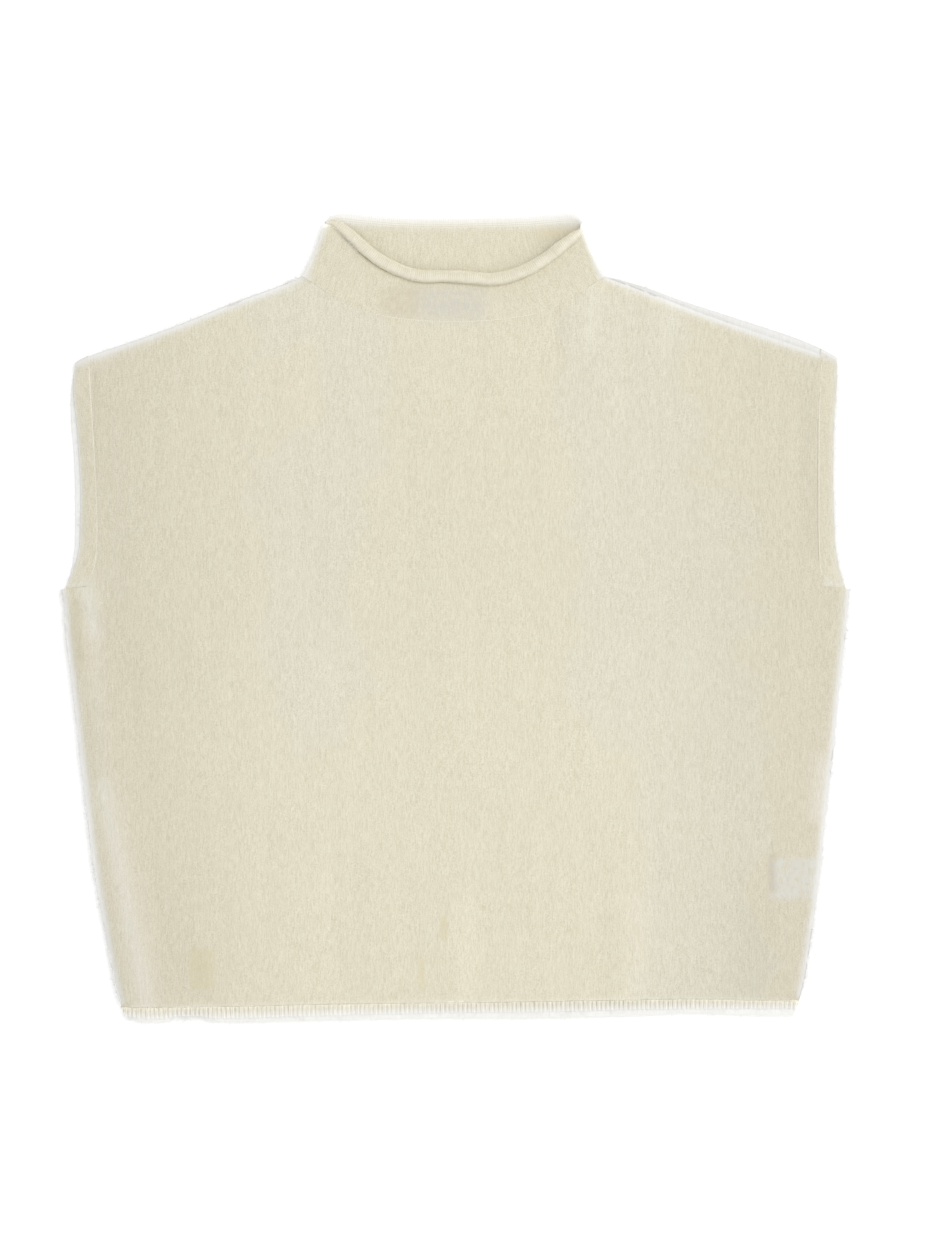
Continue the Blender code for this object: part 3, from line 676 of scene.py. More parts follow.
def make_shell(name, node, spacing, relief, tone, material, bloom=None, reach=SEAM_REACH):
    """A fine shell of cloth on a flat panel's solid.

    relief gives its upper and lower heights from the plan, the solid's heights and how free each point is.
    """
    shape = merged_copy(node)
    outline = even_outline(top_outline(shape), OUTLINE_STEP)
    plan, triangles = plan_of(outline, spacing)
    upper, lower = heights(shape, plan, outline)
    shape.free()
    to_edge = distance_to(plan, outline)
    fixed = 1 - ease((to_edge - EDGE_START) / EDGE_WIDTH)
    upper, lower = (relaxed(values, triangles, fixed, RELAXING_ROUNDS) for values in (upper, lower))
    free = distance_to(outline, seams) > SEAM_WIDTH
    upper, lower = relief(plan, upper, lower, 1 - fixed)
    middle = (upper + lower)[: len(outline)] / 2
    edge = np.column_stack((nudged(outline), middle))
    free_edges[name] = [edge[line] for line in lines_of(outline, free)]
    to_free = distance_to(plan, outline[free]) if free.any() else np.full(len(plan), 1.0)
    # Free edges get a veil of fibres with painted highlight, thickest at the edge.
    own = bloom(plan) if bloom else 0.0
    veils_and_highlights = own + (EDGE_VEIL_AND_HIGHLIGHT - own) * (1 - ease(to_free / VEIL_AND_HIGHLIGHT_WIDTH))
    plan[: len(outline)] = np.where(free[:, None], outline, inset(outline, -reach))
    plan = nudged(plan)
    points = np.vstack((np.column_stack((plan, upper)), np.column_stack((plan, lower))))
    below = len(plan)
    edges = {edge for a, b, c in triangles for edge in ((a, b), (b, c), (c, a))}
    rim = sorted((a, b) for a, b in edges if (b, a) not in edges)
    faces = [(a, b, c) for a, b, c in triangles]
    faces += [(c + below, b + below, a + below) for a, b, c in triangles]
    faces += [(b, a, a + below, b + below) for a, b in rim]
    piece = new_object(name, points, faces, [material])
    set_map(piece, points[:, :2])
    write_values(piece, "tone", np.tile(tone(plan), 2))
    write_values(piece, "bloom", np.tile(veils_and_highlights, 2))
    piece.data.set_sharp_from_angle(angle=RIM_ANGLE)
    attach(piece, "root")
    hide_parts(node)
    print(f"{name}: {len(points)} points, {len(faces)} faces, wall {np.median(upper - lower) / MM:.2f} mm")
    return piece


# %% [markdown]
# ## The front
#
# The front lies over the back with hardly any tension, so it has only faint, soft swells: a ridge inside each
# side fold, short ones that run up from the hem, and fan-like ones below the shoulders. The largest are in the
# solid already. The rest are listed here, each a soft ridge or trough along a short line, and none
# quite even: a slow noise makes them swell and fade.

# %% Creases of the front
# start x, start y, end x, end y, half width, rise
FRONT_CREASES = (
    (-268, -60, -246, -230, 6, 0.35), (-245, -40, -222, -250, 9, -0.35), (-205, -190, -196, -270, 10, 0.3),
    (-150, -150, -142, -268, 12, -0.25), (-40, -150, -34, -262, 9, -0.3), (16, -140, 20, -272, 8, -0.35),
    (60, -190, 66, -276, 9, 0.25), (106, -170, 110, -268, 7, -0.4), (146, -180, 150, -272, 8, -0.35),
    (196, -150, 200, -270, 11, 0.3), (236, -120, 232, -262, 9, -0.3), (258, 170, 262, 30, 8, -0.35),
    (-262, 150, -256, 20, 9, -0.3), (-246, 120, -240, -20, 9, 0.25), (-160, 205, -150, 120, 10, 0.3),
    (-96, 228, -104, 150, 9, -0.3), (132, 226, 128, 150, 8, -0.35), (188, 205, 186, 130, 9, -0.25),
    (-286, 18, -262, 4, 4, 0.5), (-283, 10, -264, -12, 3.5, -0.4), (286, 18, 264, 8, 4, 0.5),
    (284, 8, 266, -8, 3.5, -0.4),
)

CREASE_SWELL = 0.45  # how unevenly a crease swells, and how far it wanders
CREASE_BEND = 3 * MM


def slow_noise(points, size, seed):
    """Smooth noise from about -1 to 1, with bumps of about a size."""
    return np.array([noise.noise((x / size, y / size, seed)) for x, y in points]) * 2


def crease_relief(points, creases):
    """The height of the listed creases, each swelling and fading along its length."""
    swell = 1 + CREASE_SWELL * slow_noise(points, 45 * MM, 3.5)
    bend = CREASE_BEND * slow_noise(points, 60 * MM, 8.5)
    bent = points + np.column_stack((bend, np.zeros(len(points))))
    rise = np.zeros(len(points))
    for *line, half_width, height in creases:
        rise += height * MM * swell * soft_band(bent, line, half_width)
    return rise


# %% [markdown]
# The solid's rim drops steeply. Soft cloth stays full nearly up to its edge, so the rim is lifted to the height
# of the cloth beside it. It is lifted less along the sides, where the front comes down on the back, and at the
# shoulders.

# %% The front's heights
SIDES = [(rows[0][2], rows[0][4], *HEM_SEAM[end]) for rows, end in ((LEFT_ARMHOLE, 0), (RIGHT_ARMHOLE, -1))]
SIDE_FULLNESS = 0.4  # the share of the lift at the sides
SHOULDER_SLACK = 0.35  # how much less of it there is at the shoulders
SIDE_DROP = 1.0 * MM  # the sides close down on the back
BROAD_RISE = 0.22 * MM  # the unevenness of soft cloth: broad swells, and ripples along the wales
RIPPLE_RISE = 0.10 * MM


def filled_out(points, upper, loose):
    """Upper heights whose rim is nearly as high as the cloth beside it, less so at the sides and shoulders."""
    x, y = np.abs(points.T) / MM
    to_side = np.minimum(*(to_line(points, line) for line in SIDES)) / MM
    share = SIDE_FULLNESS + (1 - SIDE_FULLNESS) * ease((to_side - 3) / 6)
    share -= SHOULDER_SLACK * ease((x - 110) / 10) * (points[:, 1] > 150 * MM)
    rim, beside = loose < 0.1, (loose > 0.1) & (loose < 0.9)
    _, numbers = nearest(points[rim], points[beside])
    filled = upper.copy()
    filled[rim] += share[rim] * (upper[beside][numbers] - upper[rim])
    return filled


def front_relief(points, upper, lower, loose):
    """The front's creases and the slight unevenness of soft cloth."""
    upper = filled_out(points, upper, loose)
    broad = BROAD_RISE * slow_noise(points, 38 * MM, 1.5)
    ripple = RIPPLE_RISE * slow_noise(points * [1.0, 0.2], 11 * MM, 5.5)
    rise = (crease_relief(points, FRONT_CREASES) + broad + ripple) * loose
    at_side = (np.abs(points[:, 0]) > 240 * MM) & (points[:, 1] < 24 * MM) & (loose == 0)
    return upper + rise, lower + rise - np.where(at_side, SIDE_DROP, 0.0)


# %% [markdown]
# The front's tones are mostly painted light and shade. Along the side folds, where the cloth turns down, a
# deeper, warmer strip of painted shade runs, and the ridge beside it has a painted highlight. The cloth is also
# painted a little darker towards both sides and the lower corners, where it turns away from the light. These
# tones are written on the front's points.

# %% Tones of the front
# start x, start y, end x, end y, half width, tone of painted light and shade, veil of fibres and painted
# highlight
FRONT_TONES = (
    (-277, 27, -271, -8, 6.5, 0.1, 0.30), (-270, -14, -264, -120, 6, 0.1, 0.10),
    (-280, 198, -262, 203, 9, 0.1, 0.30), (-264, -128, -232, -285, 8.5, 0.30, 0.27),
    (-290, 12, -252, -285, 4.5, -0.3, 0), (-269.5, 185, -269.5, 60, 2.5, -0.5, 0),
    (-252, 180, -250, -60, 18, -0.15, 0), (-206, -180, -200, -270, 22, -0.15, 0),
    (-190, -255, -190, -275, 8, -0.25, 0), (-268, 215, -215, 236, 12, 0.2, 0.2),
    (276, -108, 272, -146, 7, 0.3, 0.25), (268, 150, 266, 50, 8, -0.25, 0),
    (228, -200, 222, -270, 18, -0.3, 0),
    (106, 250, 100, 205, 5, 0.4, 0.06), (164, 236, 156, 200, 5, 0.4, 0.05), (78, 236, 82, 205, 6, -0.35, 0),
    (136, -210, 132, -280, 10, 0.2, 0.06), (114, -225, 116, -280, 6, -0.3, 0),
    (8, -215, 10, -280, 8, 0.35, 0.02), (-70, -180, -66, -275, 7, -0.2, 0), (-100, -195, -96, -275, 9, 0.2, 0),
    (-18, 120, -26, -140, 14, -0.08, 0),
)

SIDE_SHADE = 0.75  # how much deeper the cloth is at its sides, and how much more so in the lower corners
CORNER_SHADE = 0.2
LOWER_LIFT = 0.25  # painted light: how much lighter its middle is below the armholes
HEM_REACH_UP = 3 * MM  # painted light against the hem seam's shade reaches this far from the seam
# painted light and highlight on the front beside the hem seam, against the seam's shade
HEM_SIDE_TONE = 0.3
HEM_SIDE_HIGHLIGHT = 0.15


def strips(points, column):
    """The sum of one column of the listed strips, at points of the front."""
    return sum(row[column] * soft_band(points, row, row[4]) for row in FRONT_TONES)


def near_hem(points):
    """1 at the hem seam and 0 further away than the painted light beside it reaches."""
    return 1 - ease(distance_to(points, resample(HEM_SEAM, 320) * MM) / HEM_REACH_UP)


def front_tone(points):
    """Painted shade at sides and lower corners, painted light low in the middle and at the hem, and listed
    strips.
    """
    x, y = points.T / MM
    sides = ease((np.abs(x) - 110) / 170)
    low = ease((-170 - y) / 120)
    lift = LOWER_LIFT * ease((60 - y) / 160) * (1 - sides)
    deeper = sides * (SIDE_SHADE + CORNER_SHADE * low)
    return strips(points, 5) - deeper + lift + HEM_SIDE_TONE * near_hem(points)


# Fibres and painted highlight on the front: the listed strips, and beside the hem seam.
def front_veil_and_highlight(points):
    return strips(points, 6) + HEM_SIDE_HIGHLIGHT * near_hem(points)


# %% [markdown]
# The dye isn't quite even either: broad clouds of the cloth are a little cooler or rosier than the rest.

# %% Clouds of colour
CLOUD_EDGE = 18  # how wide the soft edge of a cloud is, in millimetres
CLOUD_DRIFT = 12 * MM  # how far that edge wanders
# start x, start y, end x, end y, half width, shade
CLOUDS = (
    (-100, 225, -106, 60, 44, 1), (-106, 60, -106, -50, 34, 1), (118, 205, 130, 130, 46, 1),
    (150, 60, 152, -40, 66, 1), (190, -90, 184, -300, 47, 0.9), (-268, 200, -262, 150, 22, -0.8),
    (-200, -150, -190, -300, 60, -1), (-244, -20, -236, -150, 30, -0.6), (262, 80, 256, -290, 24, -1),
    (-124, 190, -126, 150, 16, -1),
)


def front_shade(points):
    """1 in the cool clouds, -1 in the rosy ones, with wandering edges."""
    drift = CLOUD_DRIFT * np.column_stack([slow_noise(points, 30 * MM, seed) for seed in (12.5, 14.5)])
    shade = np.zeros(len(points))
    for *line, half_width, strength in CLOUDS:
        share = 1 - ease((to_line(points + drift, line) / MM - half_width + CLOUD_EDGE / 2) / CLOUD_EDGE)
        shade = np.where(share > 0, shade * (1 - share) + strength * share, shade)
    return shade


# %% The front
FRONT_SPACING = 3.6 * MM

front = make_shell(
    "front_panel", "front", FRONT_SPACING, front_relief, front_tone, body_knit, front_veil_and_highlight
)
places = np.zeros(3 * len(front.data.vertices), np.float32)
front.data.vertices.foreach_get("co", places)
write_values(front, "shade", front_shade(places.reshape(-1, 3)[:, :2].astype(float)))

# %% [markdown]
# ## The back
#
# The back has the front's outline and lies flat on the floor. At the shoulders and the sides it comes round to
# the front, so its rim rises there to meet the front's edge. The strip of it that shows at the shoulders is
# veiled with loose fibres and a painted highlight, toned down with painted shade.

# %% The back
BACK_SPACING = 4.5 * MM
SHOULDER_LEVEL = 190  # the shoulders' edges lie higher than this in the plan, in millimetres
RISE_START = 1.0 * MM  # a lower layer is fully up this near to the edge on it, and level RISE_REACH further off
RISE_REACH = 6.0 * MM
SHOULDER_OVERLAP = 1.1 * MM  # it rises this far above the middle of that edge
SIDE_OVERLAP = 0.8 * MM
BACK_TONE = -1.4  # painted shade on the strip that shows at the shoulders
# loose fibres and painted highlight on that strip
BACK_VEIL_AND_HIGHLIGHT = 0.85


def raised_to(line, points, upper, above):
    """The upper heights of a lower layer, which rises to meet the edge of the layer that lies on it."""
    away, numbers = nearest(points, line)
    rise = (line[numbers, 2] + above - upper) * (1 - ease((away - RISE_START) / RISE_REACH))
    return upper + np.maximum(rise, 0.0)


def back_relief(points, upper, lower, loose):
    """Heights that rise to meet the front's edge."""
    edge = np.vstack(free_edges["front_panel"])
    shoulder = edge[:, 1] > SHOULDER_LEVEL * MM
    upper = raised_to(edge[shoulder], points, upper, SHOULDER_OVERLAP)
    return raised_to(edge[~shoulder], points, upper, SIDE_OVERLAP), lower


def at_shoulders(points):
    """1 on the strip that shows at the shoulders, and 0 below it."""
    return ease((points[:, 1] / MM - SHOULDER_LEVEL + 2) / 6)


def back_tone(points):
    return BACK_TONE * at_shoulders(points)


def back_veil_and_highlight(points):
    return BACK_VEIL_AND_HIGHLIGHT * at_shoulders(points)


back = make_shell(
    "back_panel", "back", BACK_SPACING, back_relief, back_tone, plain_knit, back_veil_and_highlight
)

# %% [markdown]
# ## Tubes pressed flat
#
# The collar and the two armhole bands are tubes that lie flat: a front half, a back half and a fold at either
# end. Each is lofted as a ring of cross-sections. A cross-section runs up the outside of the wall, round the
# free edge and down the inside, so the ring is a closed shell of cloth. The heights come from the solids.

# %% Helpers for flat tubes
CLOTH = 1.8 * MM
HALF_CLOTH = CLOTH / 2
UP = np.array([0.0, 0.0, 1.0])


def top_heights(node, points):
    """Heights of a node's upper side at points of its plan."""
    shape = merged_copy(node)
    surface = bvhtree.BVHTree.FromBMesh(shape)
    shape.free()
    return np.array([surface.ray_cast((*point, FAR_OFF), (0, 0, -1))[0].z for point in points])


def flat_tube(front, back, turn_steps):
    """The middle of a flat tube's wall, and the way each of its stations faces.

    front and back give a point for each station, from left to right, and each level. A half circle joins their
    end stations.
    """
    angles = np.linspace(math.pi / 2, -math.pi / 2, turn_steps + 2)[1:-1]

    def fold(end, turns):
        upper, lower = front[end], back[end]
        line = upper[-1] - upper[0]
        square = np.array([line[1], -line[0], 0.0]) / np.hypot(line[0], line[1])
        if square @ (front[len(front) // 2].mean(0) - upper.mean(0)) > 0:
            square = -square
        radius = (upper[:, 2] - lower[:, 2])[:, None] / 2
        ways = [math.cos(turn) * square + math.sin(turn) * UP for turn in turns]
        places = []
        for turn in turns:
            centre = upper + (lower - upper) * (1 - math.sin(turn)) / 2
            places.append(centre + radius * math.cos(turn) * square)
        return places, ways

    right, right_ways = fold(-1, angles)
    left, left_ways = fold(0, angles[::-1])
    middle = np.array([*front, *right, *back[::-1], *left])
    facing = np.array([*[UP] * len(front), *right_ways, *[-UP] * len(back), *left_ways])
    return middle, facing


def edge_directions(middle, facing):
    """For each station, the way out across the free edge, square to the edge and to the facing."""
    along = np.roll(middle[:, -1], -1, axis=0) - np.roll(middle[:, -1], 1, axis=0)
    across = unit(np.cross(along, facing))
    return across * np.sign((across * (middle[:, -1] - middle[:, 0])).sum(1))[:, None]


# %% [markdown]
# A ring's map is how far round its seam and how far up its section a point lies, so the knit follows the wall
# round the fold. The bands are knitted along the armhole, so their map is turned. A lofted ring may come out
# with its faces pointing inwards, so they are all recalculated.

# %% The map and the faces of a ring
def lengths_along(points):
    """How far each point of a line lies along it."""
    return np.concatenate(([0.0], np.cumsum(np.linalg.norm(np.diff(points, axis=0), axis=1))))


def lay_map(piece, rounds, ups, turned):
    """Writes the knit map of a ring of quads: rounds across the wales and ups along them, or turned."""
    quads = [(k, j) for k in range(len(rounds) - 1) for j in range(len(ups) - 1)]
    corners = [(k + a, j + b) for k, j in quads for a, b in ((0, 0), (1, 0), (1, 1), (0, 1))]
    places = np.array([(rounds[k], ups[j]) for k, j in corners], np.float32)
    layer = piece.data.uv_layers.new(name="knit")
    layer.data.foreach_set("uv", (places[:, ::-1] if turned else places).ravel())


def face_outwards(piece):
    shape = bmesh.new()
    shape.from_mesh(piece.data)
    bmesh.ops.recalc_face_normals(shape, faces=shape.faces)
    shape.to_mesh(piece.data)
    shape.free()


# %% A ring of cloth
SEAM_TUCK = 1.2 * MM  # a tube's seam edge slips this far under the panel's edge, and dips by this much
SEAM_DROP = 0.25 * MM


def make_ring(name, middle, facing, cap, materials, tone, bloom, turned=False):
    """A closed shell round a flat tube, whose cap gives the points round the free edge at each station.

    The second material, if there is one, is for the cap. tone and bloom read the sections and their facing.
    """
    tuck = SEAM_TUCK * unit(middle[:, 0] - middle[:, 1]) - SEAM_DROP * np.abs(facing[:, 2:]) * UP
    middle = np.concatenate(((middle[:, 0] + tuck)[:, None], middle), axis=1)
    outer = middle[:, :-1] + HALF_CLOTH * facing[:, None]
    inner = (middle[:, :-1] - HALF_CLOTH * facing[:, None])[:, ::-1]
    sections = np.concatenate((outer, cap, inner), axis=1)
    sections[..., 2] = np.maximum(sections[..., 2], 0.0)
    count, size = sections.shape[:2]
    faces = []
    for k in range(count):
        here, ahead = k * size, (k + 1) % count * size
        faces += [(here + j, ahead + j, ahead + (j + 1) % size, here + (j + 1) % size) for j in range(size)]
    piece = new_object(name, sections.reshape(-1, 3), faces, materials)
    rounds = lengths_along(np.vstack((middle[:, 0], middle[:1, 0])))
    lay_map(piece, rounds, lengths_along(np.vstack((sections[0], sections[0][:1]))), turned)
    on_cap = [len(middle[0]) - 1 <= j < len(middle[0]) - 1 + len(cap[0]) for j in range(size)]
    if len(materials) > 1:
        piece.data.polygons.foreach_set("material_index", np.tile(np.array(on_cap, int), count))
    write_values(piece, "tone", tone(sections, facing))
    write_values(piece, "bloom", bloom(sections, facing))
    face_outwards(piece)
    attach(piece, "root")
    print(f"{name}: {len(faces)} faces, {rounds[-1] / MM:.0f} mm round its seam")
    return piece


# %% [markdown]
# ## The funnel neck
#
# The collar is knitted straight up from the neckline and not bound off over a facing, so its free edge does
# what stockinette always does: it rolls outward, and shows the back of the fabric. The roll is the sweater's
# most visible line. It runs in a slack curve across the front, a little wavy, thinner where it turns round the
# two sides, and its own weight presses a shadow into the cloth below it.

# %% The collar's lines
# The rolled edge, from left to right: place across, height, the cloth's height above the floor, radius
FRONT_ROLL = (
    (-97.2, 295.6, 8.4, 1.1), (-92.6, 296.8, 8.5, 2.2), (-87.6, 295.2, 8.4, 3.2), (-83, 291.8, 8.1, 3.8),
    (-77.4, 287, 7.6, 4.2), (-68.2, 278.4, 6.6, 4.5), (-56.2, 269.2, 5.6, 4.6), (-41.2, 261.6, 4.9, 4.7),
    (-26.2, 257.4, 4.7, 4.7), (-8.2, 257.2, 4.8, 4.6), (11.2, 256.2, 4.7, 4.7), (26.2, 254.8, 4.7, 4.8),
    (41.2, 257.2, 4.9, 4.8), (56.2, 263.2, 5.6, 4.8), (70.6, 272, 6.8, 4.7), (81.2, 280.4, 8, 4.4),
    (88.6, 285.8, 9, 4), (94, 290.6, 9.3, 2.2),
)
BACK_ROLL = (
    (-97.2, 296.6, 5.4, 1.1), (-91, 301, 5.4, 2.4), (-82, 301.2, 5.4, 3), (-68, 300.2, 5.4, 3.2),
    (-41, 297.9, 5.4, 3.2), (0, 297.5, 5.4, 3.2), (30, 298.1, 5.4, 3.2), (58, 299.3, 5.4, 3.2),
    (76, 300.8, 5.5, 3.2), (86, 301.4, 6.2, 2.8), (91.6, 299.8, 7.2, 2), (93.8, 297, 8, 1.4),
)
COLLAR_LEVELS = np.linspace(0.0, 1.0, 13)
COLLAR_WAIST = 2.0 * MM  # how far the sides curve in between the neckline and the roll
WAIST_POWER = 5
BACK_RISE_POWER = 1.6  # how late the back half leaves the floor
FRONT_STATIONS = 151
BACK_STATIONS = 91
TURN_STATIONS = 9  # round each of the two folds
ROLL_POINTS = 25


# %% The collar's wall
def collar_half(neckline, roll, count, seam_height, rise_power):
    """One half of the collar's wall, as its stations' points and the roll's radius at each station."""
    seam, edge = resample(neckline, count) * MM, resample(roll, count) * MM
    share = COLLAR_LEVELS
    plan = seam[:, None] + share[:, None] * (edge[:, :2] - seam)[:, None]
    sideways = np.linspace(-1, 1, count) ** WAIST_POWER
    plan[..., 0] -= COLLAR_WAIST * sideways[:, None] * 4 * share * (1 - share)
    height = seam_height + share**rise_power * (edge[:, 2:3] - seam_height)
    return np.concatenate((plan, height[..., None]), axis=2), edge[:, 3]


just_above = resample(FRONT_NECKLINE, FRONT_STATIONS) * MM + [0.0, 4 * MM]
inner_part = slice(8, -8)  # the end stations lie on the folds, where the solid rounds over
numbers = np.arange(FRONT_STATIONS)
seam_level = top_heights("collar", just_above[inner_part]) - HALF_CLOTH
seam_level = np.interp(numbers, numbers[inner_part], seam_level)
front_half, front_radii = collar_half(FRONT_NECKLINE, FRONT_ROLL, FRONT_STATIONS, seam_level[:, None], 1.0)
back_half, back_radii = collar_half(BACK_NECKLINE, BACK_ROLL, BACK_STATIONS, HALF_CLOTH, BACK_RISE_POWER)
collar_middle, collar_facing = flat_tube(front_half, back_half, TURN_STATIONS)
turns = np.linspace(0, 1, TURN_STATIONS + 2)[1:-1]
right_radii = front_radii[-1] + turns * (back_radii[-1] - front_radii[-1])
left_radii = back_radii[0] + turns * (front_radii[0] - back_radii[0])
radii = np.concatenate((front_radii, right_radii, back_radii[::-1], left_radii))
print(f"the collar's seam lies {seam_level.min() / MM:.1f} to {seam_level.max() / MM:.1f} mm up")

# %% The rolled edge
ROLL_FLATNESS = 0.74  # the roll lies on the cloth, so it is lower than it is wide
ROLL_UNEVENNESS = 0.07
collar_across = edge_directions(collar_middle, collar_facing)
roll_cap = []
for station, way, out, radius in zip(collar_middle, collar_facing, collar_across, radii):
    radius *= 1 + ROLL_UNEVENNESS * noise.noise(tuple(station[-1] / (9 * MM)))
    lift = ROLL_FLATNESS * radius
    centre = station[-1] + (lift - HALF_CLOTH) * way
    crease = math.asin(min(1.0, (CLOTH - lift) / lift))
    angles = np.linspace(math.pi - crease, -math.pi / 2, ROLL_POINTS)
    roll_cap.append([centre + radius * math.cos(a) * out + lift * math.sin(a) * way for a in angles])
roll = np.array(roll_cap)
print(f"{len(roll)} sections of the roll, {2 * radii.max() / MM:.1f} mm across at most")

# %% [markdown]
# Loose fibres and a painted highlight veil the collar's two folds and the back half's upper edge, and the
# folds, which face sideways, get painted light. The crease below the roll, which is in deep shadow, gets
# painted light that softens the shadow, and the neck's two inner corners get warm, deep painted shade.

# %% Tones of the collar
FOLD_HEIGHTS = (257.0, 296.0)  # the lower and upper ends of the two folds, and their places across
LEFT_FOLD, RIGHT_FOLD = (-113.5, -98.5), (111.5, 95.0)
BACK_TOP = 301.5
# veils of fibres and painted highlight: on the folds and the back's upper edge, and a trace on the roll
COLLAR_VEIL_AND_HIGHLIGHT = 0.75
ROLL_VEIL_AND_HIGHLIGHT = 0.05
CREASE_TONES = (0.6, 2.1)  # painted light in the roll's shadow, on the wall's last two levels
# painted light on the folds where they face sideways
FOLD_TONE = 2.5
ROLL_START = len(COLLAR_LEVELS)  # where the roll's points start in a section
ROLL_START_TONE = 4.2  # painted light in the roll's shadow, on the first three of them


def collar_veil_and_highlight(sections, facing):
    """Fibres and painted highlight over the two folds and the back's upper edge, and a trace on the roll."""
    x, y = sections[..., 0] / MM, sections[..., 1] / MM
    left, right = np.interp(y, FOLD_HEIGHTS, LEFT_FOLD), np.interp(y, FOLD_HEIGHTS, RIGHT_FOLD)
    folds = 1 - ease(np.minimum(x - left, right - x) / 7)
    top = (facing[:, 2:] < 0) * (1 - ease((BACK_TOP - y) / 11))
    on_roll = np.zeros_like(x)
    on_roll[:, ROLL_START : ROLL_START + ROLL_POINTS] = ROLL_VEIL_AND_HIGHLIGHT
    return np.maximum(COLLAR_VEIL_AND_HIGHLIGHT * np.maximum(folds, top), on_roll)


def collar_tone(sections, facing):
    """Painted light in the crease, on the folds and inside the back; warm painted shade in the two corners."""
    x, y = sections[..., 0] / MM, sections[..., 1] / MM
    inside_back = facing[:, 2:] < 0
    right = np.exp(-(((x - 78) / 20) ** 2) - ((y - 289 - 0.53 * (x - 78)) / 9) ** 2)
    left = np.exp(-(((x + 79) / 8) ** 2) - ((y - 288) / 5) ** 2)
    crease = np.zeros_like(x)
    below = slice(ROLL_START - 2, ROLL_START)
    crease[:, below] = CREASE_TONES * (1 - 0.65 * ease((np.abs(x[:, below]) - 45) / 30))
    crease[:, ROLL_START : ROLL_START + 3] = ROLL_START_TONE
    at_fold = FOLD_TONE * (1 - np.abs(facing[:, 2:]))
    return crease + at_fold + inside_back * (0.3 - 0.6 * right - 0.5 * left)


collar = make_ring(
    "funnel_collar", collar_middle, collar_facing, roll, [body_knit, purl_knit], collar_tone, collar_veil_and_highlight
)
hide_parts("collar")

# %% [markdown]
# ## The armhole bands
#
# Each band is a narrow strip of the same stockinette, linked to the edges of both panels, with its wales along
# the armhole. The front's half covers most of the back's, which peeks out a few millimetres beyond it.

# %% Tones of the bands
BAND_LEVELS = np.linspace(0.0, 1.0, 6)
BAND_STATIONS = 70
# veils of fibres with painted highlight on the front half's edge and ends; the back half is veiled all over
FRONT_EDGE_VEIL_AND_HIGHLIGHT = 0.9
SHOULDER_VEIL_AND_HIGHLIGHT = 0.75
SHOULDER_VEIL_AND_HIGHLIGHT_REACH = 7.0 * MM
UNDERARM_VEIL_AND_HIGHLIGHT = 0.22
UNDERARM_VEIL_AND_HIGHLIGHT_REACH = 12.0 * MM
FACES_UP = 0.3  # a station belongs to the front half if its facing points up at least this much
FRONT_HALF_TONE = -0.35
BACK_HALF_TONES = (0.4, 1.5)  # painted light on the band at -X, which is in shade, and the one at +X


def band_veil_and_highlight(sections, facing):
    """Fibres and painted highlight: the front half's free edge and two ends, and all of the back half."""
    size = sections.shape[1]
    from_edge = np.abs(np.arange(size) - size // 2) / (len(BAND_LEVELS) + 1)
    front = FRONT_EDGE_VEIL_AND_HIGHLIGHT * (1 - ease(from_edge / 0.9))
    seam = sections[:, :1, :2]
    from_shoulder, from_underarm = (np.linalg.norm(seam - seam[end], axis=2) for end in (BAND_STATIONS - 1, 0))
    ends = SHOULDER_VEIL_AND_HIGHLIGHT * (1 - ease(from_shoulder / SHOULDER_VEIL_AND_HIGHLIGHT_REACH))
    ends = ends + UNDERARM_VEIL_AND_HIGHLIGHT * (1 - ease(from_underarm / UNDERARM_VEIL_AND_HIGHLIGHT_REACH))
    return np.where(facing[:, 2:] > FACES_UP, np.maximum(front[None], ends), 1.0)


# Painted light on the back halves, less on the one at -X, which is in shade.
def band_tone(sections, facing):
    back_half = np.where(sections[..., 0] < 0, *BACK_HALF_TONES)
    return np.where(facing[:, 2:] > FACES_UP, FRONT_HALF_TONE, back_half)


# %% The two bands
BAND_TURN = 7  # stations round each of the two folds
EDGE_POINTS = 9
EDGE_THINNING = 0.55  # the free edge is this much thinner than round
BAND_EDGE = 2.4 * MM  # the front half's free edge lies this high, on the back half
BAND_DROP_POWER = 1.6
UNDERARM_RISE = 0.2 * MM  # over the first stations the front half lies this much higher than the solid
UNDERARM_STATIONS = 4
SHOULDER_DROP = 0.35 * MM  # and over the last ones this much lower
SHOULDER_STATIONS = 8
UNDERARM_TUCK = 1.2  # the band's lower end slips this far under the panel, in millimetres


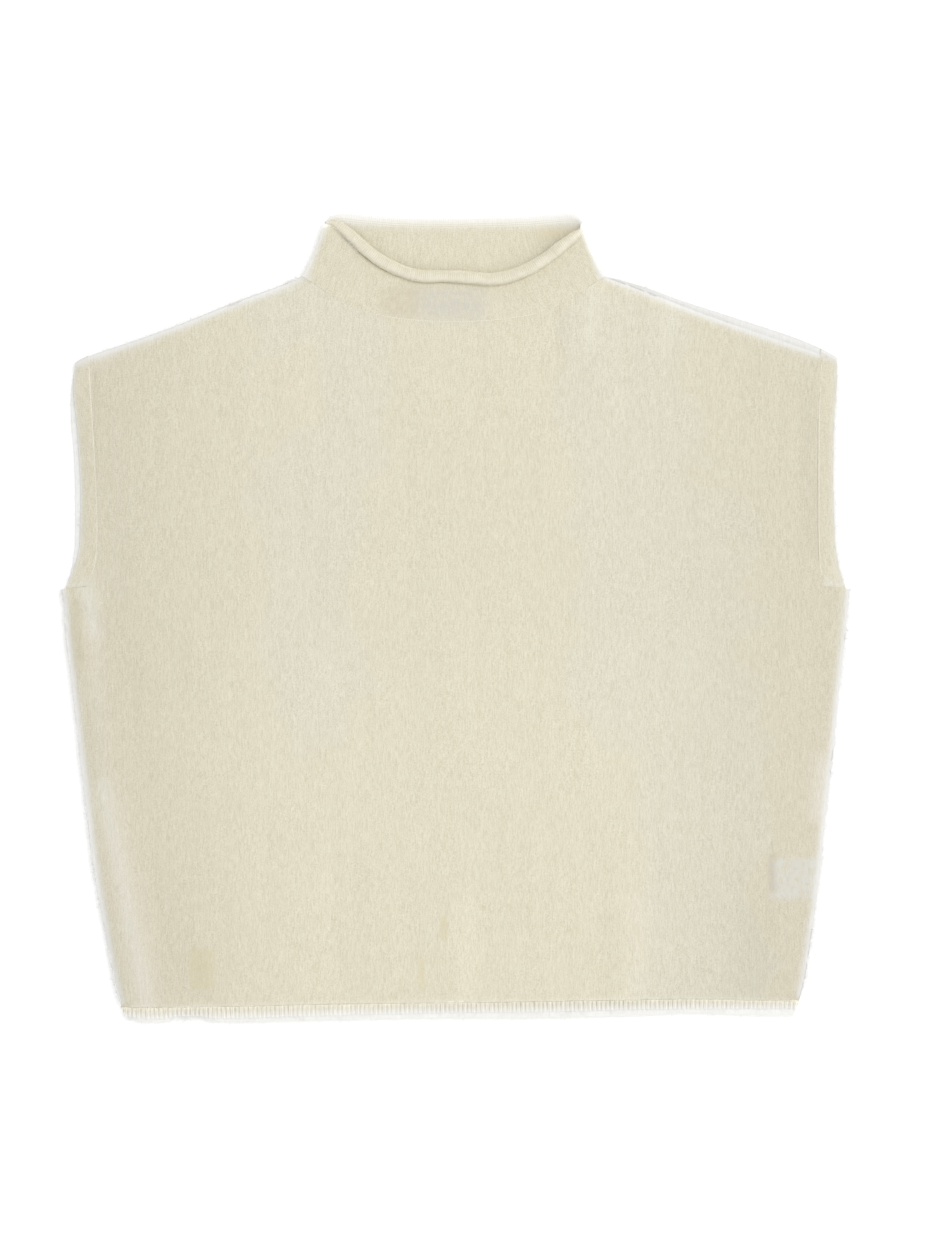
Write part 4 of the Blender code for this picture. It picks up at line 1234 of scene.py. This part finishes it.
def make_band(name, node, rows, shoulder_reach):
    """One armhole band, a low flat tube with a rounded free edge. Its heights are the solid's."""
    stations = resample(rows, BAND_STATIONS) * MM
    probes = stations[:, :2] + 0.2 * (stations[:, [2, 4]] - stations[:, :2])
    front_level = top_heights(node, probes) - HALF_CLOTH
    passed = np.arange(BAND_STATIONS)
    front_level += UNDERARM_RISE * (1 - ease(passed / UNDERARM_STATIONS))
    to_shoulder = BAND_STATIONS - 1 - passed
    front_level -= SHOULDER_DROP * ease((SHOULDER_STATIONS - to_shoulder) / SHOULDER_STATIONS)
    back_level = np.full(BAND_STATIONS, HALF_CLOTH)
    # The two ends slip under the panels. The heights above were read where the solid's own ends are.
    rows = np.array(rows)
    rows[0, [1, 4]] -= UNDERARM_TUCK
    rows[-1, [1, 4]] += shoulder_reach
    stations = resample(rows, BAND_STATIONS) * MM
    seam, front_edge, back_edge = stations[:, :2], stations[:, [2, 4]], stations[:, [3, 4]]
    halves = []
    for edge, bottom, top in ((front_edge, front_level, BAND_EDGE), (back_edge, back_level, HALF_CLOTH)):
        plan = seam[:, None] + BAND_LEVELS[:, None] * (edge - seam)[:, None]
        height = bottom[:, None] + BAND_LEVELS**BAND_DROP_POWER * (top - bottom)[:, None]
        halves.append(np.concatenate((plan, height[..., None]), axis=2))
    middle, facing = flat_tube(*halves, BAND_TURN)
    across = edge_directions(middle, facing)
    angles = np.linspace(math.pi / 2, -math.pi / 2, EDGE_POINTS)
    cap = [
        [station[-1] + HALF_CLOTH * (math.cos(a) * out + EDGE_THINNING * math.sin(a) * way) for a in angles]
        for station, way, out in zip(middle, facing, across)
    ]
    band = make_ring(name, middle, facing, np.array(cap), [plain_knit], band_tone, band_veil_and_highlight, turned=True)
    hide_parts(node)
    return band


band_left = make_band("armhole_band_left_knit", "armhole_band_left", LEFT_ARMHOLE, 1.2)
band_right = make_band("armhole_band_right_knit", "armhole_band_right", RIGHT_ARMHOLE, 4.5)

# %% [markdown]
# ## The label tapes
#
# Two woven tapes lie between the panels. They are left blank. Only a hint of them shows, through the front.

# %% Tapes
TAPE = (0.780, 0.775, 0.750)
# painted shade in the grooves between the tape's ribs
TAPE_SHADE = (0.640, 0.630, 0.600)
TAPE_RIB = 0.5 * MM
TAPE_SPACING = 5.0 * MM


def tape_material():
    """A plain woven tape: fine ribs across a pale thread."""
    material, w, shader = new_material("label_tape", roughness=0.55, specular=0.5)
    shares = w.parts(w.add("ShaderNodeUVMap", uv_map="knit").outputs["UV"])
    ribs = w.math("SINE", w.math("MULTIPLY", shares["Y"], 2 * math.pi / TAPE_RIB))
    picks = w.math("SINE", w.math("MULTIPLY", shares["X"], 4 * math.pi / TAPE_RIB))
    weave = w.math("MULTIPLY_ADD", picks, 0.2, w.math("MULTIPLY_ADD", ribs, 0.3, 0.5))
    w.tree.links.new(w.blend(weave, TAPE_SHADE, TAPE), shader.inputs["Base Color"])
    bump = w.add("ShaderNodeBump", {"Height": weave, "Distance": 0.1 * MM, "Strength": 0.5}).outputs[0]
    w.tree.links.new(bump, shader.inputs["Normal"])
    return material


def level(points):
    return np.zeros(len(points))


def no_relief(points, upper, lower, loose):
    return upper, lower


label_tape = tape_material()
neck_tape = make_shell("neck_tape", "neck_label", TAPE_SPACING, no_relief, level, label_tape)
care_tape = make_shell("care_tape", "care_label", TAPE_SPACING, no_relief, level, label_tape)

# %% [markdown]
# ## Growing pieces from node trees
#
# Ribs, linking stitches and loose fibres all repeat along a line, so Geometry Nodes make them. A tree takes a
# simple starting object, a row of points or a line, and its sizes as named inputs. Its result is turned into a
# plain mesh, and the starting object is thrown away.


# %% Helpers for Geometry Nodes
def new_tree(name, *sizes, **others):
    """A tree with a geometry input and output, and a named input for each of its sizes, the seed and so on."""
    tree = bpy.data.node_groups.new(name, "GeometryNodeTree")
    tree.interface.new_socket("Geometry", in_out="OUTPUT", socket_type="NodeSocketGeometry")
    inputs = {"Geometry": "Geometry", **dict.fromkeys(sizes, "Float"), **others}
    for label, kind in {**inputs, "Seed": "Int", "Material": "Material"}.items():
        tree.interface.new_socket(label, in_out="INPUT", socket_type="NodeSocket" + kind)
    w = Wiring(tree)
    return w, w.add("NodeGroupInput").outputs


def end_tree(w, geometry):
    """Makes the copies real, gives them their material, and hands the result on."""
    given = w.tree.nodes["Group Input"].outputs
    real = w.add("GeometryNodeRealizeInstances", {"Geometry": geometry}).outputs[0]
    smooth = w.add("GeometryNodeSetShadeSmooth", {"Geometry": real}).outputs[0]
    painted = w.add("GeometryNodeSetMaterial", {"Geometry": smooth, "Material": given["Material"]}).outputs[0]
    # Nothing sinks below the floor.
    place = w.parts(w.add("GeometryNodeInputPosition").outputs[0])
    above = w.vector(place["X"], place["Y"], w.math("ABSOLUTE", place["Z"]))
    above = w.add("GeometryNodeSetPosition", {"Geometry": painted, "Position": above}).outputs[0]
    w.add("NodeGroupOutput", {"Geometry": above})
    return w.tree


def random_number(w, low, high, seed):
    inputs = {"Min": low, "Max": high, "Seed": seed}
    return socket_of(w.add("FunctionNodeRandomValue", inputs, data_type="FLOAT").outputs, "Value")


def swung(w, way, reach, amount, seed):
    """A direction with a random one added to it, of some reach along each axis and times an amount."""
    inputs = {"Min": [-value for value in reach], "Max": reach, "Seed": seed}
    swing = socket_of(w.add("FunctionNodeRandomValue", inputs, data_type="FLOAT_VECTOR").outputs, "Value")
    return w.vectors("ADD", way, w.vectors("SCALE", swing, amount))


def given_value(w, name, kind="FLOAT"):
    """What the starting points say under a name."""
    node = w.add("GeometryNodeInputNamedAttribute", {"Name": name}, data_type=kind)
    return socket_of(node.outputs, "Attribute")


def even_line(w, given):
    """The starting lines, with a point at every spacing."""
    line = w.add("GeometryNodeMeshToCurve", {"Mesh": given["Geometry"]}).outputs[0]
    inputs = {"Curve": line, "Length": given["Spacing"]}
    return w.add("GeometryNodeResampleCurve", inputs, mode="LENGTH").outputs[0]


def copies(w, points, piece, turn, size):
    """A copy of a piece on each point, turned and sized, as the tree's result."""
    inputs = {"Points": points, "Instance": piece, "Rotation": turn, "Scale": size}
    return end_tree(w, w.add("GeometryNodeInstanceOnPoints", inputs).outputs[0])


# %% From a starting object to a piece
def point_object(name, points, edges=(), **attributes):
    """A starting object: points, maybe joined to lines, with named values for each."""
    mesh = bpy.data.meshes.new(name)
    mesh.from_pydata(np.array(points).tolist(), list(edges), [])
    for label, values in attributes.items():
        values = np.array(values, np.float32)
        kind, field = ("FLOAT", "value") if values.ndim == 1 else ("FLOAT_VECTOR", "vector")
        mesh.attributes.new(label, kind, "POINT").data.foreach_set(field, values.ravel())
    return placed(name, mesh)


def grown(name, start, tree, sizes):
    """The piece that a tree grows from a starting object, as a plain mesh."""
    modifier = start.modifiers.new(name, "NODES")
    modifier.node_group = tree
    for socket in tree.interface.items_tree:
        if socket.in_out == "INPUT" and socket.name in sizes:
            modifier[socket.identifier] = sizes[socket.name]
    evaluated = start.evaluated_get(bpy.context.evaluated_depsgraph_get())
    mesh = bpy.data.meshes.new_from_object(evaluated)
    start.modifiers.clear()
    bpy.data.objects.remove(start)
    piece = placed(name, mesh)
    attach(piece, "root")
    mesh.calc_loop_triangles()
    print(f"{name}: {len(mesh.loop_triangles)} triangles")
    return piece


# %% [markdown]
# ## The ribbed hem
#
# The rib is 151 raised columns of stitches with furrows between them. The strip under them is a plain shell.
# One column is modelled, as a stack of V-shaped stitches, and a Geometry Nodes tree puts a copy of it at each
# of 151 points along the hem, with its own length and a little tilt and width of its own.

# %% The strip under the ribs
HEM_MARGIN = 3.0 * MM  # the ends of the strip have no rib
HEM_SPACING = 4.0 * MM
HEM_REACH = 1.0 * MM  # the strip's seam edge slips this far under the front
HEM_EDGE = (2.3 * MM, 3.3 * MM)  # the free edge comes down on the back's rib: its lower and upper height
HEM_SINK = 0.8 * MM  # the seam edge lies this much below the solid's
# painted light on the rib strips, which lie in shade, and more beside the hem seam
HEM_TONE = 1.3
HEM_SEAM_TONE = 1.5
HEM_VEIL_AND_HIGHLIGHT = 0.30
BACK_RIB_VEIL_AND_HIGHLIGHT = 0.95
STRIP_OVERLAP = 0.2 * MM  # the back's rib rises this far above the middle of the strip's free edge


def hem_tone(points):
    """Painted light on the rib, and more beside its seam, where the front's edge shades it."""
    return HEM_TONE + HEM_SEAM_TONE * near_hem(points)


def hem_veil_and_highlight(points):
    """The rib has a thin veil of fibres and painted highlight all over, which thickens at its free edge."""
    return np.full(len(points), HEM_VEIL_AND_HIGHLIGHT)


# The back's rib is veiled all over with loose fibres and painted highlight.
def veiled_and_highlighted(points):
    return np.full(len(points), BACK_RIB_VEIL_AND_HIGHLIGHT)


# %% The strip's heights
def spans(outline, places):
    """The lowest and the highest point of a closed outline at places across."""
    start, end = outline, np.roll(outline, -1, axis=0)
    found = []
    for x in places:
        crossing = (start[:, 0] > x) != (end[:, 0] > x)
        a, b = start[crossing], end[crossing]
        ys = a[:, 1] + (b[:, 1] - a[:, 1]) * (x - a[:, 0]) / (b[:, 0] - a[:, 0])
        found.append((ys.min(), ys.max()))
    return np.array(found)


hem_shape = merged_copy("hem_front")
hem_outline = nudged(top_outline(hem_shape))
hem_shape.free()
hem_ends = hem_outline[:, 0].min() + HEM_MARGIN, hem_outline[:, 0].max() - HEM_MARGIN


def drooping(points, upper, lower, loose):
    """The strip's heights, from the solid's at the seam down to the free edge's."""
    bottom, top = spans(hem_outline, np.clip(points[:, 0], *hem_ends)).T
    share = np.clip((top - points[:, 1]) / (top - bottom), 0, 1)
    sunk = HEM_SINK * (1 - ease(share / 0.2))
    return upper + share * (HEM_EDGE[1] - upper) - sunk, lower + share * (HEM_EDGE[0] - lower) - sunk


hem_strip = make_shell(
    "hem_strip", "hem_front", HEM_SPACING, drooping, hem_tone, plain_knit, hem_veil_and_highlight, HEM_REACH
)


def meeting_strip(points, upper, lower, loose):
    """The back's rib, raised to meet the free edge of the strip on it."""
    return raised_to(np.vstack(free_edges["hem_strip"]), points, upper, STRIP_OVERLAP), lower


hem_back = make_shell(
    "hem_back_rib", "hem_back", BACK_SPACING, meeting_strip, hem_tone, plain_knit, veiled_and_highlighted
)

# %% [markdown]
# Each leg of a V is a short bent strand with five sides. Two legs make a stitch, and ten stitches a column. A
# column carries painted light, most at its seam end, which the front's edge shades, and its lower end is veiled
# with fibres and painted highlight, like the rib's free edge.

# %% One column of stitches
RIB_COURSES = 10
STRAND = 0.48 * MM
LEG_REACH = 0.66 * MM


def strand_tube(path, radii, sides):
    """Points and faces of a thin closed tube along a path."""
    points, faces = [], []
    for number, (centre, radius) in enumerate(zip(path, radii)):
        ahead = np.array(path[min(number + 1, len(path) - 1)]) - path[max(number - 1, 0)]
        aside = np.cross(ahead, UP)
        aside /= np.linalg.norm(aside)
        lift = np.cross(aside, ahead / np.linalg.norm(ahead))
        for side in range(sides):
            angle = 2 * math.pi * side / sides
            points.append(centre + radius * (math.cos(angle) * aside + math.sin(angle) * lift))
    for ring in range(len(path) - 1):
        for side in range(sides):
            here, beside = ring * sides + side, ring * sides + (side + 1) % sides
            faces.append((here, beside, beside + sides, here + sides))
    last = (len(path) - 1) * sides
    faces.append(tuple(range(sides))[::-1])
    faces.append(tuple(range(last, last + sides)))
    return np.array(points), faces


# A leg, from its foot to its head: across, up and height as shares of its reach, a course and a strand, and
# the strand's thickness
LEG = (
    (0.10, -1.25, -0.15, 0.6), (0.45, -0.85, 0.55, 1.0), (0.95, -0.30, 0.45, 1.0), (1.00, 0.10, -0.30, 0.6),
)
LEG_SIDES = 5
RIB_TONES = (1.9, 3.0)  # painted light, from a third of the way down, and at the seam
RIB_VEILS_AND_HIGHLIGHTS = (EDGE_VEIL_AND_HIGHLIGHT, HEM_VEIL_AND_HIGHLIGHT)  # veil and painted highlight at the free edge, and at the seam


def stitch_column(courses):
    """A column of V stitches that runs from the origin down along -Y."""
    points, faces = [], []
    for course in range(courses):
        for side in (-1, 1):
            path = [(x * side * LEG_REACH, (y - course) * COURSE, z * STRAND) for x, y, z, _ in LEG]
            new_points, new_faces = strand_tube(np.array(path), np.array(LEG)[:, 3] * STRAND, LEG_SIDES)
            faces += [tuple(index + len(points) for index in face) for face in new_faces]
            points += new_points.tolist()
    column = new_object("stitch_column", points, faces, [])
    down = np.array(points)[:, 1]
    write_values(column, "tone", np.interp(down, (-courses * COURSE / 3, 0), RIB_TONES))
    write_values(column, "bloom", np.interp(down, (-courses * COURSE, 0), RIB_VEILS_AND_HIGHLIGHTS))
    return column


def rib_tree():
    """Copies of a column on points, each scaled to its own reach."""
    w, given = new_tree("rib_columns", "Width jitter", "Tilt", Column="Object")
    column = w.add("GeometryNodeObjectInfo", {"Object": given["Column"]}).outputs["Geometry"]
    narrow = w.math("SUBTRACT", 1.0, given["Width jitter"])
    wide = w.math("ADD", 1.0, given["Width jitter"])
    width = random_number(w, narrow, wide, given["Seed"])
    tilt = random_number(w, w.math("MULTIPLY", given["Tilt"], -1.0), given["Tilt"], 7)
    size = w.vector(width, given_value(w, "reach"), 1.0)
    return copies(w, given["Geometry"], column, w.vector(given_value(w, "pitch"), 0.0, tilt), size)


# %% Where the ribs stand
RIBS = 151
RIB_START = 0.6 * MM  # a rib starts this far below the seam, and ends a little above the strip's edge
RIB_SHORTENING = 0.8 * MM

rib_places = np.linspace(*hem_ends, RIBS)
rib_spans = spans(hem_outline, rib_places)
rib_middles = np.column_stack((rib_places, rib_spans.mean(axis=1)))
rib_heights = top_heights("hem_front", rib_middles)
rib_starts = np.column_stack((rib_places, rib_spans[:, 1] - RIB_START, rib_heights))
rib_lengths = rib_spans[:, 1] - rib_spans[:, 0]
rib_reach = (rib_lengths - RIB_SHORTENING) / (RIB_COURSES * COURSE)
rib_pitch = np.arctan2(rib_heights - HEM_EDGE[1], rib_lengths)
column = stitch_column(RIB_COURSES)
rib_values = {"Column": column, "Width jitter": 0.12, "Tilt": 0.03, "Seed": 3, "Material": plain_knit}
rib_start = point_object("rib_places", rib_starts, reach=rib_reach, pitch=rib_pitch)
grown("hem_rib_columns", rib_start, rib_tree(), rib_values)
bpy.data.objects.remove(column)

# %% [markdown]
# ## Linking stitches
#
# The collar, the bands and the rib are linked to the panels stitch by stitch. The yarn of the seam lies in the
# groove between two pieces as a fine chain, which almost vanishes in the fuzz. Each link is a small flat bead
# of yarn, turned along the seam, with painted light against the groove's shade.


# %% A chain along a line
def link_tree():
    """Small flattened beads of yarn, one after another along a line."""
    w, given = new_tree("linking_stitches", "Spacing", "Length", "Thickness", "Uneven", "Tone", "Highlight")
    bead = w.add("GeometryNodeMeshIcoSphere", {"Radius": 0.5, "Subdivisions": 2}).outputs[0]
    for name, value in (("tone", given["Tone"]), ("bloom", given["Highlight"])):
        stored = {"Geometry": bead, "Name": name, "Value": value}
        bead = w.add("GeometryNodeStoreNamedAttribute", stored, data_type="FLOAT", domain="POINT").outputs[0]
    tangent = w.add("GeometryNodeInputTangent").outputs[0]
    way = swung(w, tangent, (1.0, 1.0, 0.3), given["Uneven"], given["Seed"])
    turn = w.add("FunctionNodeAlignRotationToVector", {"Vector": way}, axis="X").outputs[0]
    size = w.vector(given["Length"], given["Thickness"], given["Thickness"])
    return copies(w, even_line(w, given), bead, turn, size)


def joined(lines):
    """The points of several lines, and the edges that join each line's own points."""
    edges, count = [], 0
    for line in lines:
        edges += [(count + k, count + k + 1) for k in range(len(line) - 1)]
        count += len(line)
    return np.vstack(lines), edges


# %% Links along the seams
LINK_SINK = 0.25 * MM
BESIDE = 0.4 * MM  # a seam lies in a gap, so its height is read this far beside it
# the tone and the highlight are painted light on the beads, which lie in the groove's shade
LINK_VALUES = {"Length": 1.5 * MM, "Thickness": 0.7 * MM, "Uneven": 0.25, "Tone": 1.4, "Highlight": 0.45}
seam_links = link_tree()


def seam_line(node, points, *step):
    """A seam's points, sunk a little below a node's upper side, which is found a step away from the seam."""
    return np.column_stack((points, top_heights(node, points + step) - LINK_SINK))


def link_seam(name, lines, spacing, seed):
    points, edges = joined(lines)
    values = {**LINK_VALUES, "Material": plain_knit, "Spacing": spacing, "Seed": seed}
    return grown(name, point_object(name + "_line", points, edges), seam_links, values)


neck_line = seam_line("collar", resample(FRONT_NECKLINE, 240)[3:-3] * MM, 0.0, BESIDE)
link_seam("neck_seam_links", [neck_line], WALE, 11)
hem_line = seam_line("hem_front", np.column_stack((rib_places, rib_spans[:, 1])), 0.0, -BESIDE)
link_seam("hem_seam_links", [hem_line], WALE, 12)
band_lines = []
for node, rows, way in (("armhole_band_left", LEFT_ARMHOLE, -1), ("armhole_band_right", RIGHT_ARMHOLE, 1)):
    line = resample(np.array(rows)[:, :2], 120)[4:-4] * MM
    band_lines.append(seam_line(node, line, 0.5 * MM * way, 0.0))
link_seam("armhole_seam_links", band_lines, COURSE, 13)

# %% [markdown]
# ## Fuzz
#
# Brushed yarn has a halo: loose fibres a few millimetres long that stand off every edge. A tree grows them
# along a line. Each fibre is a thin three-sided tube that bends and tapers. It sets off in the line's outward
# direction, with a random swing, roll and length of its own.

# %% One tree for all the fuzz
FIBRE = (0.930, 0.925, 0.900)
FIBRE_DEEP = (0.870, 0.860, 0.820)


def fibre_material():
    """Single pale fibres, a little mottled."""
    material, w, shader = new_material("fibre", roughness=0.9, specular=0.1)
    mottle = w.noise(w.add("ShaderNodeTexCoord").outputs["Object"], 60.0, Detail=2.0)
    w.tree.links.new(w.blend(mottle, FIBRE_DEEP, FIBRE), shader.inputs["Base Color"])
    return material


def fuzz_tree():
    """Bent, tapered fibres that stand off a line."""
    w, given = new_tree("fuzz", "Spacing", "Length", "Radius", "Swing")
    bend = {"Resolution": 2, "Start": (0.0, 0.0, 0.0), "Middle": (0.0, 0.0, 0.55), "End": (0.38, 0.0, 0.85)}
    path = w.add("GeometryNodeCurveQuadraticBezier", bend).outputs[0]
    taper = w.math("SUBTRACT", 1.05, w.add("GeometryNodeSplineParameter").outputs["Factor"])
    tapered = w.add("GeometryNodeSetCurveRadius", {"Curve": path, "Radius": taper}).outputs[0]
    thin = w.math("DIVIDE", given["Radius"], given["Length"])
    ring = w.add("GeometryNodeCurvePrimitiveCircle", {"Resolution": 3, "Radius": thin}).outputs[0]
    inputs = {"Curve": tapered, "Profile Curve": ring, "Fill Caps": True}
    fibre = w.add("GeometryNodeCurveToMesh", inputs).outputs[0]
    outward = given_value(w, "outward", "FLOAT_VECTOR")
    parts = w.parts(swung(w, outward, (1.0, 1.0, 1.0), given["Swing"], given["Seed"]))
    way = w.vector(parts["X"], parts["Y"], w.math("ABSOLUTE", parts["Z"]))
    roll = w.vector(0.0, 0.0, random_number(w, 0.0, 2 * math.pi, 5))
    turn = w.add("FunctionNodeAlignRotationToVector", {"Rotation": roll, "Vector": way}, axis="Z").outputs[0]
    chance = random_number(w, 0.0, 1.0, 9)
    share = w.math("MULTIPLY_ADD", w.math("MULTIPLY", chance, chance), 1.3, 0.3)
    return copies(w, even_line(w, given), fibre, turn, w.math("MULTIPLY", given["Length"], share))


# %% Where the fuzz stands
fibre = fibre_material()
fuzz = fuzz_tree()
FUZZ_VALUES = {"Spacing": 0.30 * MM, "Length": 3.0 * MM, "Radius": 0.05 * MM, "Swing": 0.8, "Material": fibre}


def outward_ways(line):
    """The directions away from the cloth along a line that has the cloth on its left."""
    along = np.gradient(line[:, :2], axis=0)
    along /= np.linalg.norm(along, axis=1)[:, None] + 1e-12
    return np.column_stack((along[:, 1], -along[:, 0], np.full(len(line), 0.2)))


def grow_fuzz(name, lines, slot, seed, ways=None, **changes):
    """Fuzz on lines, standing outwards or in given directions."""
    points, edges = joined(lines)
    outward = np.vstack([outward_ways(line) for line in lines] if ways is None else ways)
    start = point_object(name + "_line", points, edges, outward=outward)
    return grown(name, start, fuzz, {**FUZZ_VALUES, **changes, "Seed": seed})


grow_fuzz("front_fuzz", free_edges["front_panel"], "body_knit", 21)
grow_fuzz("back_fuzz", free_edges["back_panel"], "body_knit", 22)
grow_fuzz("hem_fuzz", free_edges["hem_back_rib"] + free_edges["hem_strip"], "hem_rib", 23)

# %% Fuzz on the bands
BAND_FUZZ_HEIGHTS = ((2, 2.6), (3, 1.0))  # columns of the armhole tables that hold the free edges, and heights
END_FUZZ_HEIGHTS = (4.2, 2.8)  # at the upper end, from the seam to the edge
END_FUZZ_REACH = 1.2  # how far past the end that fuzz starts

edge_lines, edge_ways = [], []
for rows, way in ((LEFT_ARMHOLE, -1.0), (RIGHT_ARMHOLE, 1.0)):
    for column, height in BAND_FUZZ_HEIGHTS:
        edge_lines.append(at_height(resample(np.array(rows)[:, [column, 4]], 80) * MM, height * MM))
        edge_ways.append(np.tile([way, 0.0, 0.2], (80, 1)))
    last = rows[-1]
    tops = [(last[0], last[1] + END_FUZZ_REACH), (last[2], last[4] + END_FUZZ_REACH)]
    edge_lines.append(resample(np.column_stack((tops, END_FUZZ_HEIGHTS)), 12) * MM)
    edge_ways.append(np.tile([0.4 * way, 1.0, 0.3], (12, 1)))
grow_fuzz("band_fuzz", edge_lines, "band_knit", 24, edge_ways)

# %% Fuzz on the collar
ROLL_MIDDLE = 2 * MM  # fibres on the roll point away from a line this far above the end of the wall
ROLL_FUZZ = {"Spacing": 0.5 * MM, "Length": 1.6 * MM, "Radius": 0.04 * MM}

half_turn = TURN_STATIONS // 2
collar_lines, collar_ways = [], []
for station in (FRONT_STATIONS + half_turn, len(collar_middle) - 1 - half_turn):
    collar_lines.append(collar_middle[station] + HALF_CLOTH * collar_facing[station])
    collar_ways.append(np.tile(collar_facing[station], (len(COLLAR_LEVELS), 1)))
back_start = FRONT_STATIONS + TURN_STATIONS
collar_lines.append(roll[back_start : back_start + BACK_STATIONS, ROLL_POINTS // 2])
collar_ways.append(np.tile([0.0, 1.0, 0.2], (BACK_STATIONS, 1)))
grow_fuzz("collar_fuzz", collar_lines, "collar_knit", 25, collar_ways)
roll_lines, roll_ways = [], []
for turn in (ROLL_POINTS // 5, ROLL_POINTS // 2, 3 * ROLL_POINTS // 4):
    line = roll[:FRONT_STATIONS, turn]
    roll_lines.append(line)
    roll_ways.append(unit(line - (collar_middle[:FRONT_STATIONS, -1] + ROLL_MIDDLE * UP)))
grow_fuzz("roll_fuzz", roll_lines, "collar_knit", 26, roll_ways, **ROLL_FUZZ)

# %% [markdown]
# ## Floor and light
#
# The sweater is a cut-out on white, lit by broad soft light that comes a little more from the upper right.

# %% Floor
FLOOR_SIZE = 6.0
FLOOR_DROP = 0.1 * MM  # the floor lies a hair lower, so the cloth that rests on it doesn't flicker
WHITE = (1.0, 1.0, 1.0, 1.0)
floor_material, _, floor_shader = new_material("floor", roughness=1.0, specular=0.0)
floor_shader.inputs["Base Color"].default_value = (0.55, 0.55, 0.55, 1.0)
floor_shader.inputs["Emission Color"].default_value = WHITE
floor_shader.inputs["Emission Strength"].default_value = 0.5
half = FLOOR_SIZE / 2
corners = [(-half, -half, 0.0), (half, -half, 0.0), (half, half, 0.0), (-half, half, 0.0)]
floor = new_object("floor", corners, [(0, 1, 2, 3)], [floor_material])
floor.location.z = -FLOOR_DROP

# %% Light
SKY_STRENGTH = 0.88
KEY_POWER = 92.0
KEY_PLACE = (2.5, 2.0, 3.8)
KEY_SIZE = 2.6

world = bpy.data.worlds.new("sky")
scene.world = world
world.use_nodes = True
background = world.node_tree.nodes["Background"]
background.inputs["Color"].default_value = WHITE
background.inputs["Strength"].default_value = SKY_STRENGTH
key = placed("key", bpy.data.lights.new("key", "AREA"))
key.data.energy = KEY_POWER
key.data.size = KEY_SIZE
key.location = KEY_PLACE
key.rotation_euler = (-key.location).to_track_quat("-Z", "Y").to_euler()
